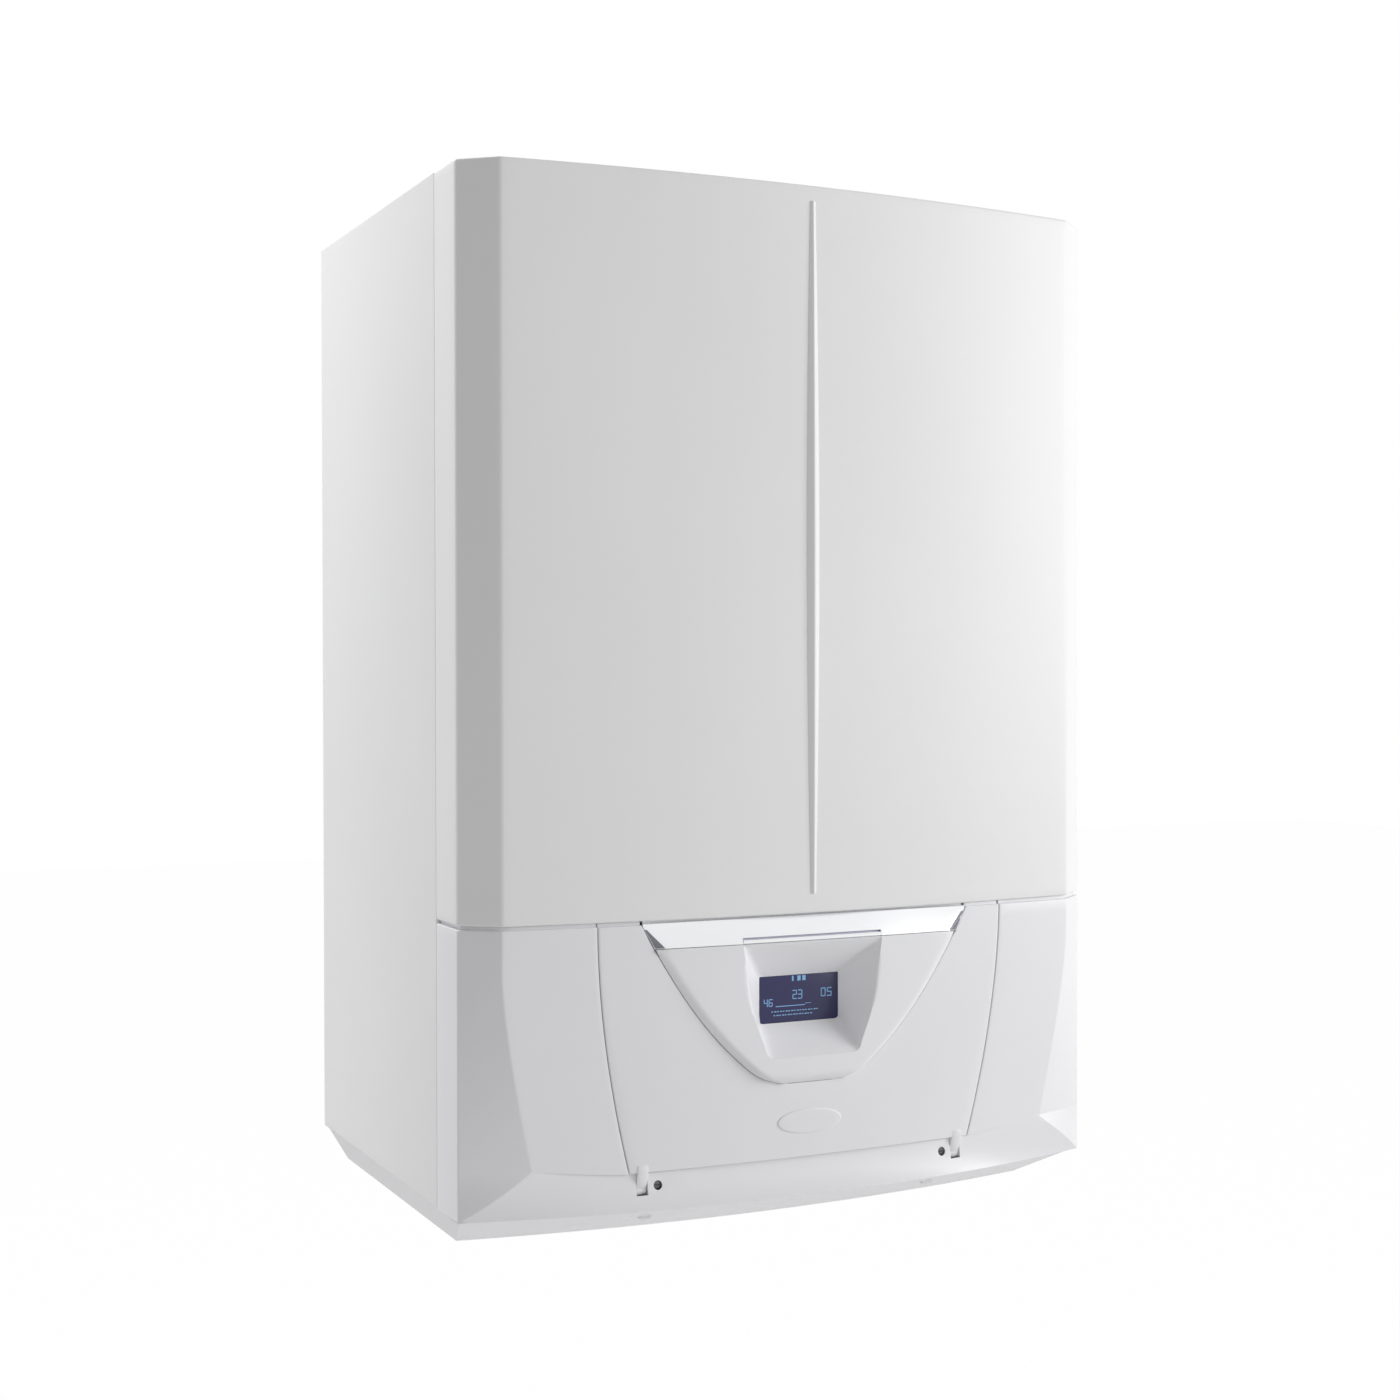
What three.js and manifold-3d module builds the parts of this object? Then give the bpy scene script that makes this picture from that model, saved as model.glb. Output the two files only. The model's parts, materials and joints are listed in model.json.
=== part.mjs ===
// A wall-hung storage combi boiler: a painted steel casing with a bowed front cover, a moulded
// lower surround with a tilting control fascia and a shield-shaped flap over its buttons, and the
// tank, heat exchanger, burner, pump group and pipes inside.
// Millimetres, +Z up. The casing is drawn with x = 0 at its middle, y = 0 at the chord of the bowed
// front and z = 0 under the bottom cover, then set so that the wall bracket's back is the origin.
import * as THREE from "three";
import { mergeVertices } from "three/addons/utils/BufferGeometryUtils.js";
import Module from "manifold-3d";

const wasm = await Module();
wasm.setup();

// ---- Driving dimensions: casing ----
const caseWidth = 600;
const caseHeight = 880;
const sideRearY = 422;
const wallGap = 26;
const sheet = 1.5;
const moulding = 3;
const fitGap = 0.3;
const panelSeam = 0.8;
const leastDetail = 0.004;
const panEdgeHeight = 34;

// ---- Front shape ----
const frontBow = 18;
const chamferRun = 29.5;
const chamferDepth = 24;
const coverReturnY = 74.6;
const coverSeamHeight = 269.7;
const coverSeamGap = 3;
const coverFlange = 14;
const ribBottom = 287.5;
const ribTop = 866.6;
const ribEndWidth = 5;
const ribMidWidth = 11.5;
const ribEndRise = 1.4;
const ribMidRise = 3.4;

// ---- Lower surround and fascia ----
const frontLean = 9;
const sillHeight = 64;
const sillCornerRise = 9.5;
const sillUndercut = 5;
const wingStraightHeight = 231;
const wingDraw = 27;
const fasciaTopHalf = 192;
const fasciaBottomHalf = 162;
const fasciaTop = 267.9;
const fasciaSeam = 0.9;
const tiltY = 6;
const tiltZ = 50;
const knuckleX = 150.5;
const knuckleWidth = 9.4;
const knuckleRadius = 6;
const tiltPinRadius = 2.5;
const earThickness = 3.6;
const sillScrewX = 136.5;
const sillScrewZ = 53;
const screwRadius = 1.8;

// ---- Shield flap ----
const flapTop = 266.4;
const flapShoulder = 248;
const flapBottom = 128.6;
const flapTopHalf = 153.7;
const flapShoulderHalf = 143.6;
const flapFootHalf = 58.7;
const flapFootRise = 14;
const flapShoulderY = -11.6;
const flapFaceY = -20;
const flapRimY = -8.5;
const flapSkin = 2.5;
const flapFlank = 9.5;
const flapSeam = 0.5;
const funnelTopHalf = 66;
const funnelTop = 247.4;
const funnelMidHalf = 60.2;
const funnelBottomHalf = 45.5;
const funnelBottom = 151.5;
const funnelRound = 8;
const lensWidth = 80;
const lensHeight = 44;
const lensMidZ = 196;
const lensProud = 0.5;
const lensThickness = 2.4;
const windowWidth = 76;
const windowHeight = 40;
const windowGap = 0.6;
const gripTall = 5.4;
const trimLayer = 2.2;
const flapPivotY = -14;
const flapPivotZ = 137;
const flapPivotX = 29.5;
const flapPinRadius = 1.2;
const flapArmWidth = 4.6;
const flapCheekWidth = 3;

// ---- Control panel ----
const panelY = 9;
const panelThickness = 3;
const panelHalf = 156;
const panelBottomZ = 111;
const panelTopZ = 262;
const buttonRadius = 6.2;
const buttonProud = 5;
const buttonPlaces = [[94, 232], [89, 212], [83.5, 192]];
const boxDepth = 41;
const boxInset = 6;
const boxWall = 2;

// ---- Bottom cover, chassis and wall bracket ----
const panDraft = 20;
const panFrontMidY = 68;
const panFrontCornerY = 95;
const panWall = 2.5;
const postWidth = 10;
const postY = 22;
const frameSheet = 2;
const frameFlange = 20;
const bracketDrop = 60;
const bracketHalf = 210;
const bracketPlate = 3;
const bracketTall = 60;
const spacerInset = 60;
const spacerZ = 90;
const spacerRadius = 16;

// ---- Flue and intake on top ----
const flueOffset = 10;
const flueY = 250;
const flueBore = 30;
const flueCollar = 50;
const flueFlange = 62;
const flueRise = 40;
const capRadius = 40;
const capGapLeft = 12;
const capGapRight = 6;

// ---- Inside ----
const tankSideGap = 25;
const tankExchangerGap = 25;
const tankY = 230;
const tankHeadroom = 52.7;
const tankWall = 3;
const shelfZ = 184;
const shelfSheet = 3;
const exchangerSideGap = 50;
const exchangerHeadroom = 90;
const exchangerRadius = 100;
const exchangerFrontY = 110;
const exchangerBackY = 330;
const doorThickness = 14;
const fanDrop = 40;
const fanRadius = 58;
const fanDepth = 54;
const impellerRadius = 46;
const shaftRadius = 4;
const vesselGapAbove = 30;
const vesselGapBelow = 18.7;
const vesselDepth = 66;
const smallVesselRadius = 52;
const smallVesselSideGap = 33;
const groupShelfZ = 236;
const groupRise = 62;
const pipeY = 350;
const pipeBottom = -50;
const pipeWall = 1.5;
const waterPipeRadius = 9;
const heatingPipeRadius = 11;
const waterPitch = 70;
const waterOffset = 5;
const gasSideGap = 55;
const gasPitch = 65;
const heatingPitch = 68;
const leverLength = 40;
const cockZ = -30;

// ---- Derived ----
const halfWidth = caseWidth / 2;
const wallY = sideRearY + wallGap;
const frontEdgeX = halfWidth - chamferRun;
const coverBottom = coverSeamHeight + coverSeamGap / 2;
const surroundTop = coverSeamHeight - coverSeamGap / 2;
const sideFrontY = coverReturnY + panelSeam;
const frameBackY = sideRearY - sheet - fitGap;
const frameFrontY = frameBackY - frameSheet;
const frameHalf = halfWidth - sheet - fitGap;
const bracketHeight = caseHeight - bracketDrop;
const spacerX = halfWidth - spacerInset;
const exchangerX = halfWidth - exchangerSideGap - exchangerRadius;
const exchangerZ = caseHeight - exchangerHeadroom - exchangerRadius;
const tankRight = exchangerX - exchangerRadius - tankExchangerGap;
const tankRadius = (tankRight + halfWidth - tankSideGap) / 2;
const tankX = tankRight - tankRadius;
const tankHeight = caseHeight - tankHeadroom - shelfZ - shelfSheet - fitGap;
const fanZ = exchangerZ - fanDrop;
const groupTop = groupShelfZ + shelfSheet + fitGap + groupRise;
const vesselTop = exchangerZ - exchangerRadius - vesselGapAbove;
const vesselRadius = (vesselTop - groupTop - vesselGapBelow) / 2;
const vesselX = exchangerX;
const vesselZ = vesselTop - vesselRadius;
const flueX = exchangerX - flueOffset;
const capPlaces = [
  ["left", flueX - flueFlange - capGapLeft - capRadius],
  ["right", flueX + flueFlange + capGapRight + capRadius],
];
const gasPipeX = halfWidth - gasSideGap;
const pipes = {
  hot: { x: tankX + waterOffset, radius: waterPipeRadius },
  cold: { x: tankX + waterOffset + waterPitch, radius: waterPipeRadius },
  back: { x: gasPipeX - gasPitch - heatingPitch, radius: heatingPipeRadius },
  flow: { x: gasPipeX - gasPitch, radius: heatingPipeRadius },
  gas: { x: gasPipeX, radius: heatingPipeRadius },
};

// ---- Materials ----
function finish(color, roughness, metalness = 0) {
  return new THREE.MeshStandardMaterial({ color, roughness, metalness });
}
const whitePaint = finish(0xe9e9ea, 0.38);
const whitePlastic = finish(0xe6e6e9, 0.42);
const glossTrim = finish(0xf4f5f8, 0.18);
const lensGlass = finish(0x19184a, 0.12);
const greyPlastic = finish(0x8d9094, 0.55);
const darkPlastic = finish(0x2b2d30, 0.5);
const zincSheet = finish(0xb4b8ba, 0.45, 0.8);
const castAlloy = finish(0xa7a9ab, 0.5, 0.8);
const stainless = finish(0xc6c8ca, 0.3, 0.9);
const copper = finish(0xb46f47, 0.35, 0.9);
const brass = finish(0xb8964e, 0.35, 0.9);
const redPaint = finish(0xa5241f, 0.45);
const yellowPaint = finish(0xc9a227, 0.45);
const rubber = finish(0x1d1d1e, 0.85);
const greenBoard = finish(0x1f5a3a, 0.6);

// ---- Solids ----

// Turns a closed geometry into a solid that can be joined and cut, with its faces pointing out.
function solid(geometry) {
  const bare = geometry.clone();
  bare.deleteAttribute("normal");
  bare.deleteAttribute("uv");
  const merged = mergeVertices(bare, 1e-4);
  const vertProperties = new Float32Array(merged.attributes.position.array);
  const triVerts = new Uint32Array(merged.index.array);
  const made = new wasm.Manifold(new wasm.Mesh({ numProp: 3, vertProperties, triVerts }));
  if (made.volume() >= 0) return made;
  return new wasm.Manifold(
    new wasm.Mesh({ numProp: 3, vertProperties, triVerts: triVerts.reverse() }),
  );
}

// The solid as a geometry, without slivers thinner than the least detail.
function geometryOf(shape) {
  const mesh = shape.simplify(leastDetail).getMesh();
  const geometry = new THREE.BufferGeometry();
  geometry.setAttribute("position", new THREE.BufferAttribute(mesh.vertProperties, 3));
  geometry.setIndex(new THREE.BufferAttribute(mesh.triVerts, 1));
  geometry.computeVertexNormals();
  return geometry;
}

function join(...shapes) {
  return shapes.reduce((all, next) => all.add(next));
}

function cut(shape, ...tools) {
  return tools.reduce((left, tool) => left.subtract(tool), shape);
}

function box([x0, x1], [y0, y1], [z0, z1]) {
  const geometry = new THREE.BoxGeometry(x1 - x0, y1 - y0, z1 - z0);
  return solid(geometry.translate((x0 + x1) / 2, (y0 + y1) / 2, (z0 + z1) / 2));
}

// A round bar along "x", "y" or "z" from a start point.
function rod(axis, [x, y, z], length, radius, sides = 20) {
  const geometry = new THREE.CylinderGeometry(radius, radius, length, sides);
  geometry.translate(0, length / 2, 0);
  if (axis === "x") geometry.rotateZ(-Math.PI / 2);
  if (axis === "z") geometry.rotateX(Math.PI / 2);
  return solid(geometry.translate(x, y, z));
}

// A turned body about the Z line through (x, y): profile points are [radius, height].
function turned([x, y, z], profile, sides = 28) {
  const points = profile.map(([radius, height]) => new THREE.Vector2(radius, height));
  const geometry = new THREE.LatheGeometry(points, sides);
  return solid(geometry.rotateX(Math.PI / 2).translate(x, y, z));
}

// The same about the line along +Y through (x, z).
function turnedAlongY([x, y, z], profile, sides = 28) {
  const points = profile.map(([radius, height]) => new THREE.Vector2(radius, height));
  const geometry = new THREE.LatheGeometry(points, sides);
  return solid(geometry.translate(x, y, z));
}

function outline(points) {
  return new THREE.Shape(points.map(([u, v]) => new THREE.Vector2(u, v)));
}

// Prisms of an outline: drawn in X and Z and run along Y, drawn in X and Y and run along Z, or
// drawn in Y and Z and run along X.
function prismY(shape, y0, y1, curveSegments = 10) {
  const geometry = new THREE.ExtrudeGeometry(shape, {
    depth: y1 - y0, bevelEnabled: false, curveSegments,
  });
  return solid(geometry.rotateX(Math.PI / 2).translate(0, y1, 0));
}

function prismZ(shape, z0, z1) {
  const geometry = new THREE.ExtrudeGeometry(shape, { depth: z1 - z0, bevelEnabled: false });
  return solid(geometry.translate(0, 0, z0));
}

function prismX(shape, x0, x1) {
  const geometry = new THREE.ExtrudeGeometry(shape, { depth: x1 - x0, bevelEnabled: false });
  const turn = new THREE.Matrix4().makeBasis(
    new THREE.Vector3(0, 1, 0), new THREE.Vector3(0, 0, 1), new THREE.Vector3(1, 0, 0),
  );
  return solid(geometry.applyMatrix4(turn).translate(x0, 0, 0));
}

// A skin through rings of as many points each, closed by a fan at its first and last ring.
function loft(rings) {
  const points = rings.flat(2);
  const around = rings[0].length;
  const index = [];
  for (let ring = 0; ring < rings.length - 1; ring++) {
    for (let k = 0; k < around; k++) {
      const a = ring * around + k;
      const b = ring * around + ((k + 1) % around);
      index.push(a, b, a + around, b, b + around, a + around);
    }
  }
  const last = (rings.length - 1) * around;
  for (let k = 1; k < around - 1; k++) {
    index.push(0, k + 1, k);
    index.push(last, last + k, last + k + 1);
  }
  const geometry = new THREE.BufferGeometry();
  geometry.setAttribute("position", new THREE.Float32BufferAttribute(points, 3));
  geometry.setIndex(index);
  return solid(geometry);
}

// A bent tube along straight runs joined by quarter-like bends.
function bentTube(corners, radius, bend, steps = 22, sides = 10) {
  const path = new THREE.CurvePath();
  const at = corners.map((corner) => new THREE.Vector3(...corner));
  let start = at[0];
  for (let k = 1; k < at.length - 1; k++) {
    const into = at[k].clone().sub(at[k - 1]).setLength(bend);
    const out = at[k + 1].clone().sub(at[k]).setLength(bend);
    const before = at[k].clone().sub(into);
    const after = at[k].clone().add(out);
    path.add(new THREE.LineCurve3(start, before));
    path.add(new THREE.QuadraticBezierCurve3(before, at[k], after));
    start = after;
  }
  path.add(new THREE.LineCurve3(start, at[at.length - 1]));
  const ring = new THREE.Shape().absarc(0, 0, radius, 0, 2 * Math.PI);
  const geometry = new THREE.ExtrudeGeometry(ring, {
    steps, extrudePath: path, curveSegments: sides / 2,
  });
  return solid(geometry);
}

const model = new THREE.Group();
const casing = new THREE.Group();
casing.position.set(0, -wallY, -bracketHeight);
model.add(casing);

function place(name, shape, material) {
  const mesh = new THREE.Mesh(geometryOf(shape), material);
  mesh.name = name;
  casing.add(mesh);
}

// ---- Front surfaces ----

// The bowed line of the front in plan, through the inner corners of the chamfers.
function bowY(x) {
  return -frontBow * (1 - (x / frontEdgeX) ** 2);
}

// The lower front leans back from the bow towards the sill.
function leanAt(z) {
  const down = Math.max(0, (coverSeamHeight - z) / (coverSeamHeight - sillHeight));
  return frontLean * down ** 1.4;
}

function lowerFrontY(x, z) {
  return bowY(x) + leanAt(z);
}

// The inner edge of the lower chamfer, drawn in as it goes down to the mitre.
function wingEdgeX(z) {
  const span = wingStraightHeight - sillHeight - sillCornerRise;
  const down = Math.max(0, (wingStraightHeight - z) / span);
  return frontEdgeX - (wingDraw - 0.5) * down ** 1.35;
}

// Height of the crease between the face and the cove, by share of the half width.
function creaseZ(share) {
  const outward = Math.max(0, (Math.abs(share) - 0.6) / 0.4);
  return sillHeight + sillCornerRise * outward ** 1.6;
}

// The single arc of the bottom edge.
function bottomEdgeY(x) {
  return -frontBow + (frontBow + chamferDepth) * (x / halfWidth) ** 2;
}

const shares = [-1, -0.87, -0.74, -0.6, -0.4, -0.2, 0, 0.2, 0.4, 0.6, 0.74, 0.87, 1];
const coveRows = [0, 0.14, 0.3, 0.5, 0.75, 1];
const faceRows = [0, 0.14, 0.3, 0.46, 0.62, 0.8, 1];

// The lower front body, drawn in by an inset on every side but the back.
function lowerFrontBody(inset, backY, topZ) {
  const side = halfWidth - inset;
  const squeeze = side / halfWidth;
  const floorZ = panEdgeHeight + inset;
  const closeRing = (front) => [
    [-side, backY, front[0][2]], [-side, chamferDepth + inset, front[0][2]],
    ...front,
    [side, chamferDepth + inset, front[0][2]], [side, backY, front[0][2]],
  ];
  const rings = [];
  for (const row of coveRows) {
    rings.push(closeRing(shares.map((share) => {
      const topEdge = share * wingEdgeX(creaseZ(share));
      const behind = sillUndercut * (1 - share ** 2);
      const topY = lowerFrontY(topEdge, creaseZ(share)) + behind;
      const x = share * halfWidth + (topEdge - share * halfWidth) * row;
      const y0 = bottomEdgeY(share * halfWidth);
      const y = y0 + (topY - y0) * (1 - (1 - row) ** 2.2);
      return [x * squeeze, y + inset, floorZ + (creaseZ(share) - floorZ) * row];
    })));
  }
  for (const row of faceRows) {
    rings.push(closeRing(shares.map((share) => {
      const z = creaseZ(share) + (topZ - creaseZ(share)) * row;
      const x = share * wingEdgeX(z);
      return [x * squeeze, lowerFrontY(x, z) + inset, z];
    })));
  }
  return loft(rings);
}

// The fascia's own face, which runs straight down to its lower edge.
function fasciaBody(inset, backY) {
  const rings = [];
  for (let row = 0; row <= 5; row++) {
    const z = sillHeight - 8 + ((fasciaTop + 4 - sillHeight + 8) * row) / 5;
    const front = [];
    for (let k = -7; k <= 7; k++) {
      const x = (k / 7) * (fasciaTopHalf + 8);
      front.push([x, lowerFrontY(x, z) + inset, z]);
    }
    rings.push([[-fasciaTopHalf - 8, backY, z], ...front, [fasciaTopHalf + 8, backY, z]]);
  }
  return loft(rings);
}

function fasciaHalfAt(z) {
  const down = (fasciaTop - z) / (fasciaTop - sillHeight);
  return fasciaTopHalf - (fasciaTopHalf - fasciaBottomHalf) * Math.max(0, down) ** 1.8;
}

function fasciaOutline(grow, topZ) {
  const right = [];
  for (let k = 0; k <= 10; k++) {
    const foot = sillHeight + fasciaSeam / 4;
    const z = foot + ((fasciaTop - foot) * k) / 10;
    right.push([fasciaHalfAt(z) + grow, z]);
  }
  right[0][1] -= grow;
  right.push([fasciaTopHalf + grow, topZ]);
  return outline([...right, ...right.map(([x, z]) => [-x, z]).reverse()]);
}

// ---- Casing ----

function coverOutline(inset, rearY) {
  const points = [];
  for (let k = -12; k <= 12; k++) {
    const x = (k / 12) * frontEdgeX;
    points.push([x * ((frontEdgeX - inset * 0.35) / frontEdgeX), bowY(x) + inset]);
  }
  const side = halfWidth - inset;
  return outline([
    [-side, rearY], [-side, chamferDepth + inset * 0.35], ...points,
    [side, chamferDepth + inset * 0.35], [side, rearY],
  ]);
}

function makeFrontCover() {
  const skin = prismZ(coverOutline(0, coverReturnY), coverBottom, caseHeight);
  const inside = prismZ(coverOutline(sheet, coverReturnY + 5), coverBottom + sheet, caseHeight - sheet);
  const mouth = prismZ(coverOutline(coverFlange, coverReturnY + 5), coverBottom - 5, coverBottom + 5);
  const groove = box([-ribEndWidth / 2 - 1, ribEndWidth / 2 + 1],
    [-frontBow - 5, -frontBow + 0.8], [ribBottom - 0.5, ribTop + 0.5]);
  place("upper_front_cover", cut(skin, inside, mouth, groove), whitePaint);
}

// A thin lens-shaped crease strip, clipped into a shallow groove down the middle of the cover.
function makeRib() {
  const rings = [];
  const rows = 12;
  for (let row = 0; row <= rows; row++) {
    const share = row / rows;
    const swell = Math.sin(Math.PI * share);
    const half = (ribEndWidth + (ribMidWidth - ribEndWidth) * swell) / 2;
    const rise = ribEndRise + (ribMidRise - ribEndRise) * swell;
    const z = ribBottom + (ribTop - ribBottom) * share;
    const footY = -frontBow - fitGap;
    rings.push([
      [-half, footY, z], [-half * 0.3, footY - rise, z], [half * 0.3, footY - rise, z],
      [half, footY, z],
    ]);
  }
  const strip = loft(rings);
  const key = box([-ribEndWidth / 2, ribEndWidth / 2],
    [-frontBow - fitGap - 0.2, -frontBow + 0.8 - fitGap], [ribBottom + 0.5, ribTop - 0.5]);
  place("front_rib", join(strip, key), whitePaint);
}

function makeSidePanels() {
  for (const [name, side] of [["left", -1], ["right", 1]]) {
    const span = (a, b) => (side < 0 ? [-a, -b] : [b, a]);
    const wall = box(span(halfWidth, halfWidth - sheet), [sideFrontY, sideRearY],
      [panEdgeHeight, caseHeight]);
    const frontLip = box(span(halfWidth, halfWidth - coverFlange), [sideFrontY, sideFrontY + sheet],
      [panEdgeHeight, caseHeight - 2 * coverFlange]);
    const rearLip = box(span(halfWidth, halfWidth - coverFlange - 2), [sideRearY - sheet, sideRearY],
      [panEdgeHeight, caseHeight]);
    const footLip = box(span(halfWidth, halfWidth - coverFlange), [sideFrontY, sideRearY],
      [panEdgeHeight, panEdgeHeight + sheet]);
    place(name + "_side_panel", join(wall, frontLip, rearLip, footLip), whitePaint);
  }
}

function makeTopPanel() {
  const half = halfWidth - sheet - fitGap;
  const rear = frameFrontY - fitGap;
  const plate = box([-half, half], [sideFrontY, rear], [caseHeight - sheet, caseHeight]);
  const frontLip = box([-half + coverFlange, half - coverFlange], [sideFrontY, sideFrontY + sheet],
    [caseHeight - coverFlange, caseHeight]);
  const rearLip = box([-half, half], [rear - sheet, rear], [caseHeight - coverFlange, caseHeight]);
  const flueHole = rod("z", [flueX, flueY, caseHeight - 10], 20, flueCollar - 8);
  const capHoles = capPlaces.map(([, x]) => rod("z", [x, flueY, caseHeight - 10], 20, capRadius - 8));
  place("top_panel", cut(join(plate, frontLip, rearLip), flueHole, ...capHoles), whitePaint);
}

// The surround: two wings joined by the coved sill, open for the fascia, with slots, ears for the
// tilt pins and bosses for the two screws.
function makeSurround() {
  const outer = lowerFrontBody(0, coverReturnY, surroundTop);
  const inner = lowerFrontBody(moulding, coverReturnY + 5, surroundTop - moulding);
  const hole = (z) => box([-halfWidth + coverFlange, halfWidth - coverFlange],
    [chamferDepth + 10, coverReturnY + 5], [z - 8, z + 8]);
  const postHoles = [-1, 1].map((side) => box([side * sillScrewX - postWidth, side * sillScrewX + postWidth],
    [postY - 5, chamferDepth + 11], [panEdgeHeight - 8, panEdgeHeight + 8]));
  const opening = prismY(fasciaOutline(fasciaSeam / 2, surroundTop + 10), -40, 40);
  const lip = [];
  for (let k = -8; k <= 8; k++) {
    const x = (k / 8) * (fasciaBottomHalf - 10);
    lip.push([x, bowY(x) + frontLean + sillUndercut]);
  }
  const lipBand = outline([...lip, ...lip.map(([x, y]) => [x, y + 2.4]).reverse()]);
  let surround = cut(outer, inner, hole(panEdgeHeight), hole(surroundTop), opening, ...postHoles);
  surround = join(surround, prismZ(lipBand, sillHeight - 9, sillHeight + 8));
  for (const side of [-1, 1]) {
    const x = side * knuckleX;
    const reach = knuckleWidth / 2 + fitGap;
    const slot = box([x - reach, x + reach], [-20, 30], [tiltZ - 8, sillHeight + 9]);
    const ears = [-1, 1].map((face) => {
      const ear = x + face * (reach + earThickness / 2);
      return box([ear - earThickness / 2, ear + earThickness / 2], [1, tiltY + 8],
        [tiltZ - 7, tiltZ + 9]);
    });
    const pinBore = rod("x", [x - 9, tiltY, tiltZ], 18, tiltPinRadius + fitGap, 16);
    const boss = rod("y", [side * sillScrewX, 0.8, sillScrewZ], 20, 4.6, 16);
    const screwBore = rod("y", [side * sillScrewX, -20, sillScrewZ], 60, screwRadius + fitGap, 12);
    const sink = rod("y", [side * sillScrewX, -20, sillScrewZ], 21.6, 3.8, 16);
    surround = cut(join(surround, ...ears, boss), slot, pinBore, screwBore, sink);
    place(side < 0 ? "tilt_pin_left" : "tilt_pin_right",
      rod("x", [x - 8, tiltY, tiltZ], 16, tiltPinRadius, 16), zincSheet);
    const head = rod("y", [side * sillScrewX, -0.6, sillScrewZ], 1.9, 3.5, 16);
    const drive = box([side * sillScrewX - 2.4, side * sillScrewX + 2.4], [-2, 0.1],
      [sillScrewZ - 0.5, sillScrewZ + 0.5]);
    const shank = rod("y", [side * sillScrewX, 1, sillScrewZ], 29, screwRadius, 12);
    place(side < 0 ? "sill_screw_left" : "sill_screw_right",
      cut(join(head, shank), drive), zincSheet);
  }
  place("lower_surround", surround, whitePlastic);
}

// The tapered bottom cover, with two posts that the sill screws reach and holes for the pipes.
function panBody(inset, topZ) {
  const rings = [];
  const rows = 3;
  for (let row = 0; row <= rows; row++) {
    const up = row / rows;
    const z = inset + (topZ - inset) * up;
    const side = halfWidth - 3 - panDraft * (1 - up) - inset;
    const front = [];
    for (let k = -10; k <= 10; k++) {
      const share = k / 10;
      const x = share * side;
      const low = panFrontMidY + (panFrontCornerY - panFrontMidY) * share ** 2;
      const high = bottomEdgeY(share * halfWidth) + 3;
      front.push([x, low + (high - low) * up + inset * 1.1, z]);
    }
    const rear = sideRearY - 2 - inset;
    rings.push([[-side, rear, z], ...front, [side, rear, z]]);
  }
  return loft(rings);
}

function makeBottomCover() {
  const top = panEdgeHeight - fitGap;
  let pan = cut(panBody(0, top), panBody(panWall, top + 4));
  for (const side of [-1, 1]) {
    const x = side * sillScrewX;
    pan = join(pan, box([x - postWidth / 2, x + postWidth / 2], [postY, postY + 7], [19.5, 60]));
    pan = cut(pan, rod("y", [x, 10, sillScrewZ], 30, screwRadius + fitGap, 12));
  }
  const holes = Object.values(pipes).map(({ x, radius }) =>
    rod("z", [x, pipeY, -5], 20, radius + 6));
  place("bottom_cover", cut(pan, ...holes), whitePlastic);
}

// The rear frame: back plate, side flanges, the hook that hangs on the bracket and the shelves.
function makeRearFrame() {
  const plate = box([-frameHalf, frameHalf], [frameFrontY, frameBackY],
    [panEdgeHeight + sheet + fitGap, caseHeight - fitGap]);
  const flanges = [-1, 1].map((side) => box(
    side < 0 ? [-frameHalf, -frameHalf + sheet] : [frameHalf - sheet, frameHalf],
    [frameFrontY - frameFlange, frameBackY],
    [panEdgeHeight + sheet + fitGap, caseHeight - coverFlange - 6]));
  const tankShelf = box([tankX - tankRadius, tankX + tankRadius], [tankY - 110, frameBackY],
    [shelfZ, shelfZ + shelfSheet]);
  const groupShelf = box([pipes.back.x - 50, pipes.flow.x + 50], [pipeY - 40, frameBackY],
    [groupShelfZ, groupShelfZ + shelfSheet]);
  const saddleZ = exchangerZ - exchangerRadius - fitGap;
  const saddle = box([exchangerX - 45, exchangerX + 45], [exchangerBackY - 90, frameBackY],
    [saddleZ - shelfSheet, saddleZ]);
  const hookZ = bracketHeight + bracketTall / 2 - 8;
  const hookTop = box([-bracketHalf + 30, bracketHalf - 30], [frameBackY - 1, wallY - 12],
    [hookZ + fitGap, hookZ + fitGap + frameSheet]);
  const hookLip = box([-bracketHalf + 30, bracketHalf - 30], [wallY - 12 - frameSheet, wallY - 12],
    [hookZ - 12, hookZ + fitGap + frameSheet]);
  const holes = ["hot", "cold", "back", "flow"].map((name) =>
    rod("z", [pipes[name].x, pipeY, 100], 200, pipes[name].radius + fitGap));
  const frame = join(plate, ...flanges, tankShelf, groupShelf, saddle, hookTop, hookLip);
  place("rear_frame", cut(frame, ...holes), zincSheet);
}

// The wall rail: a plate against the wall with a ledge and an upturned hook.
function makeWallBracket() {
  const half = bracketTall / 2;
  const plate = box([-bracketHalf, bracketHalf], [wallY - bracketPlate, wallY],
    [bracketHeight - half, bracketHeight + half]);
  const hookY = frameBackY + 4;
  const ledge = box([-bracketHalf, bracketHalf], [hookY, wallY],
    [bracketHeight - 8, bracketHeight - 8 + bracketPlate]);
  const hook = box([-bracketHalf, bracketHalf], [hookY, hookY + bracketPlate],
    [bracketHeight - 8, bracketHeight + half - 8]);
  const holes = [-170, -110, 110, 170].map((x) =>
    rod("y", [x, wallY - 10, bracketHeight + half - 9], 20, 4.5, 16));
  place("wall_bracket", cut(join(plate, ledge, hook), ...holes), zincSheet);
}

function makeWallSpacers() {
  for (const [name, side] of [["left", -1], ["right", 1]]) {
    const length = wallY - frameBackY - fitGap;
    place("wall_spacer_" + name,
      rod("y", [side * spacerX, frameBackY + fitGap, spacerZ], length, spacerRadius), rubber);
  }
}

// ---- Fascia, flap and controls ----

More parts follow.
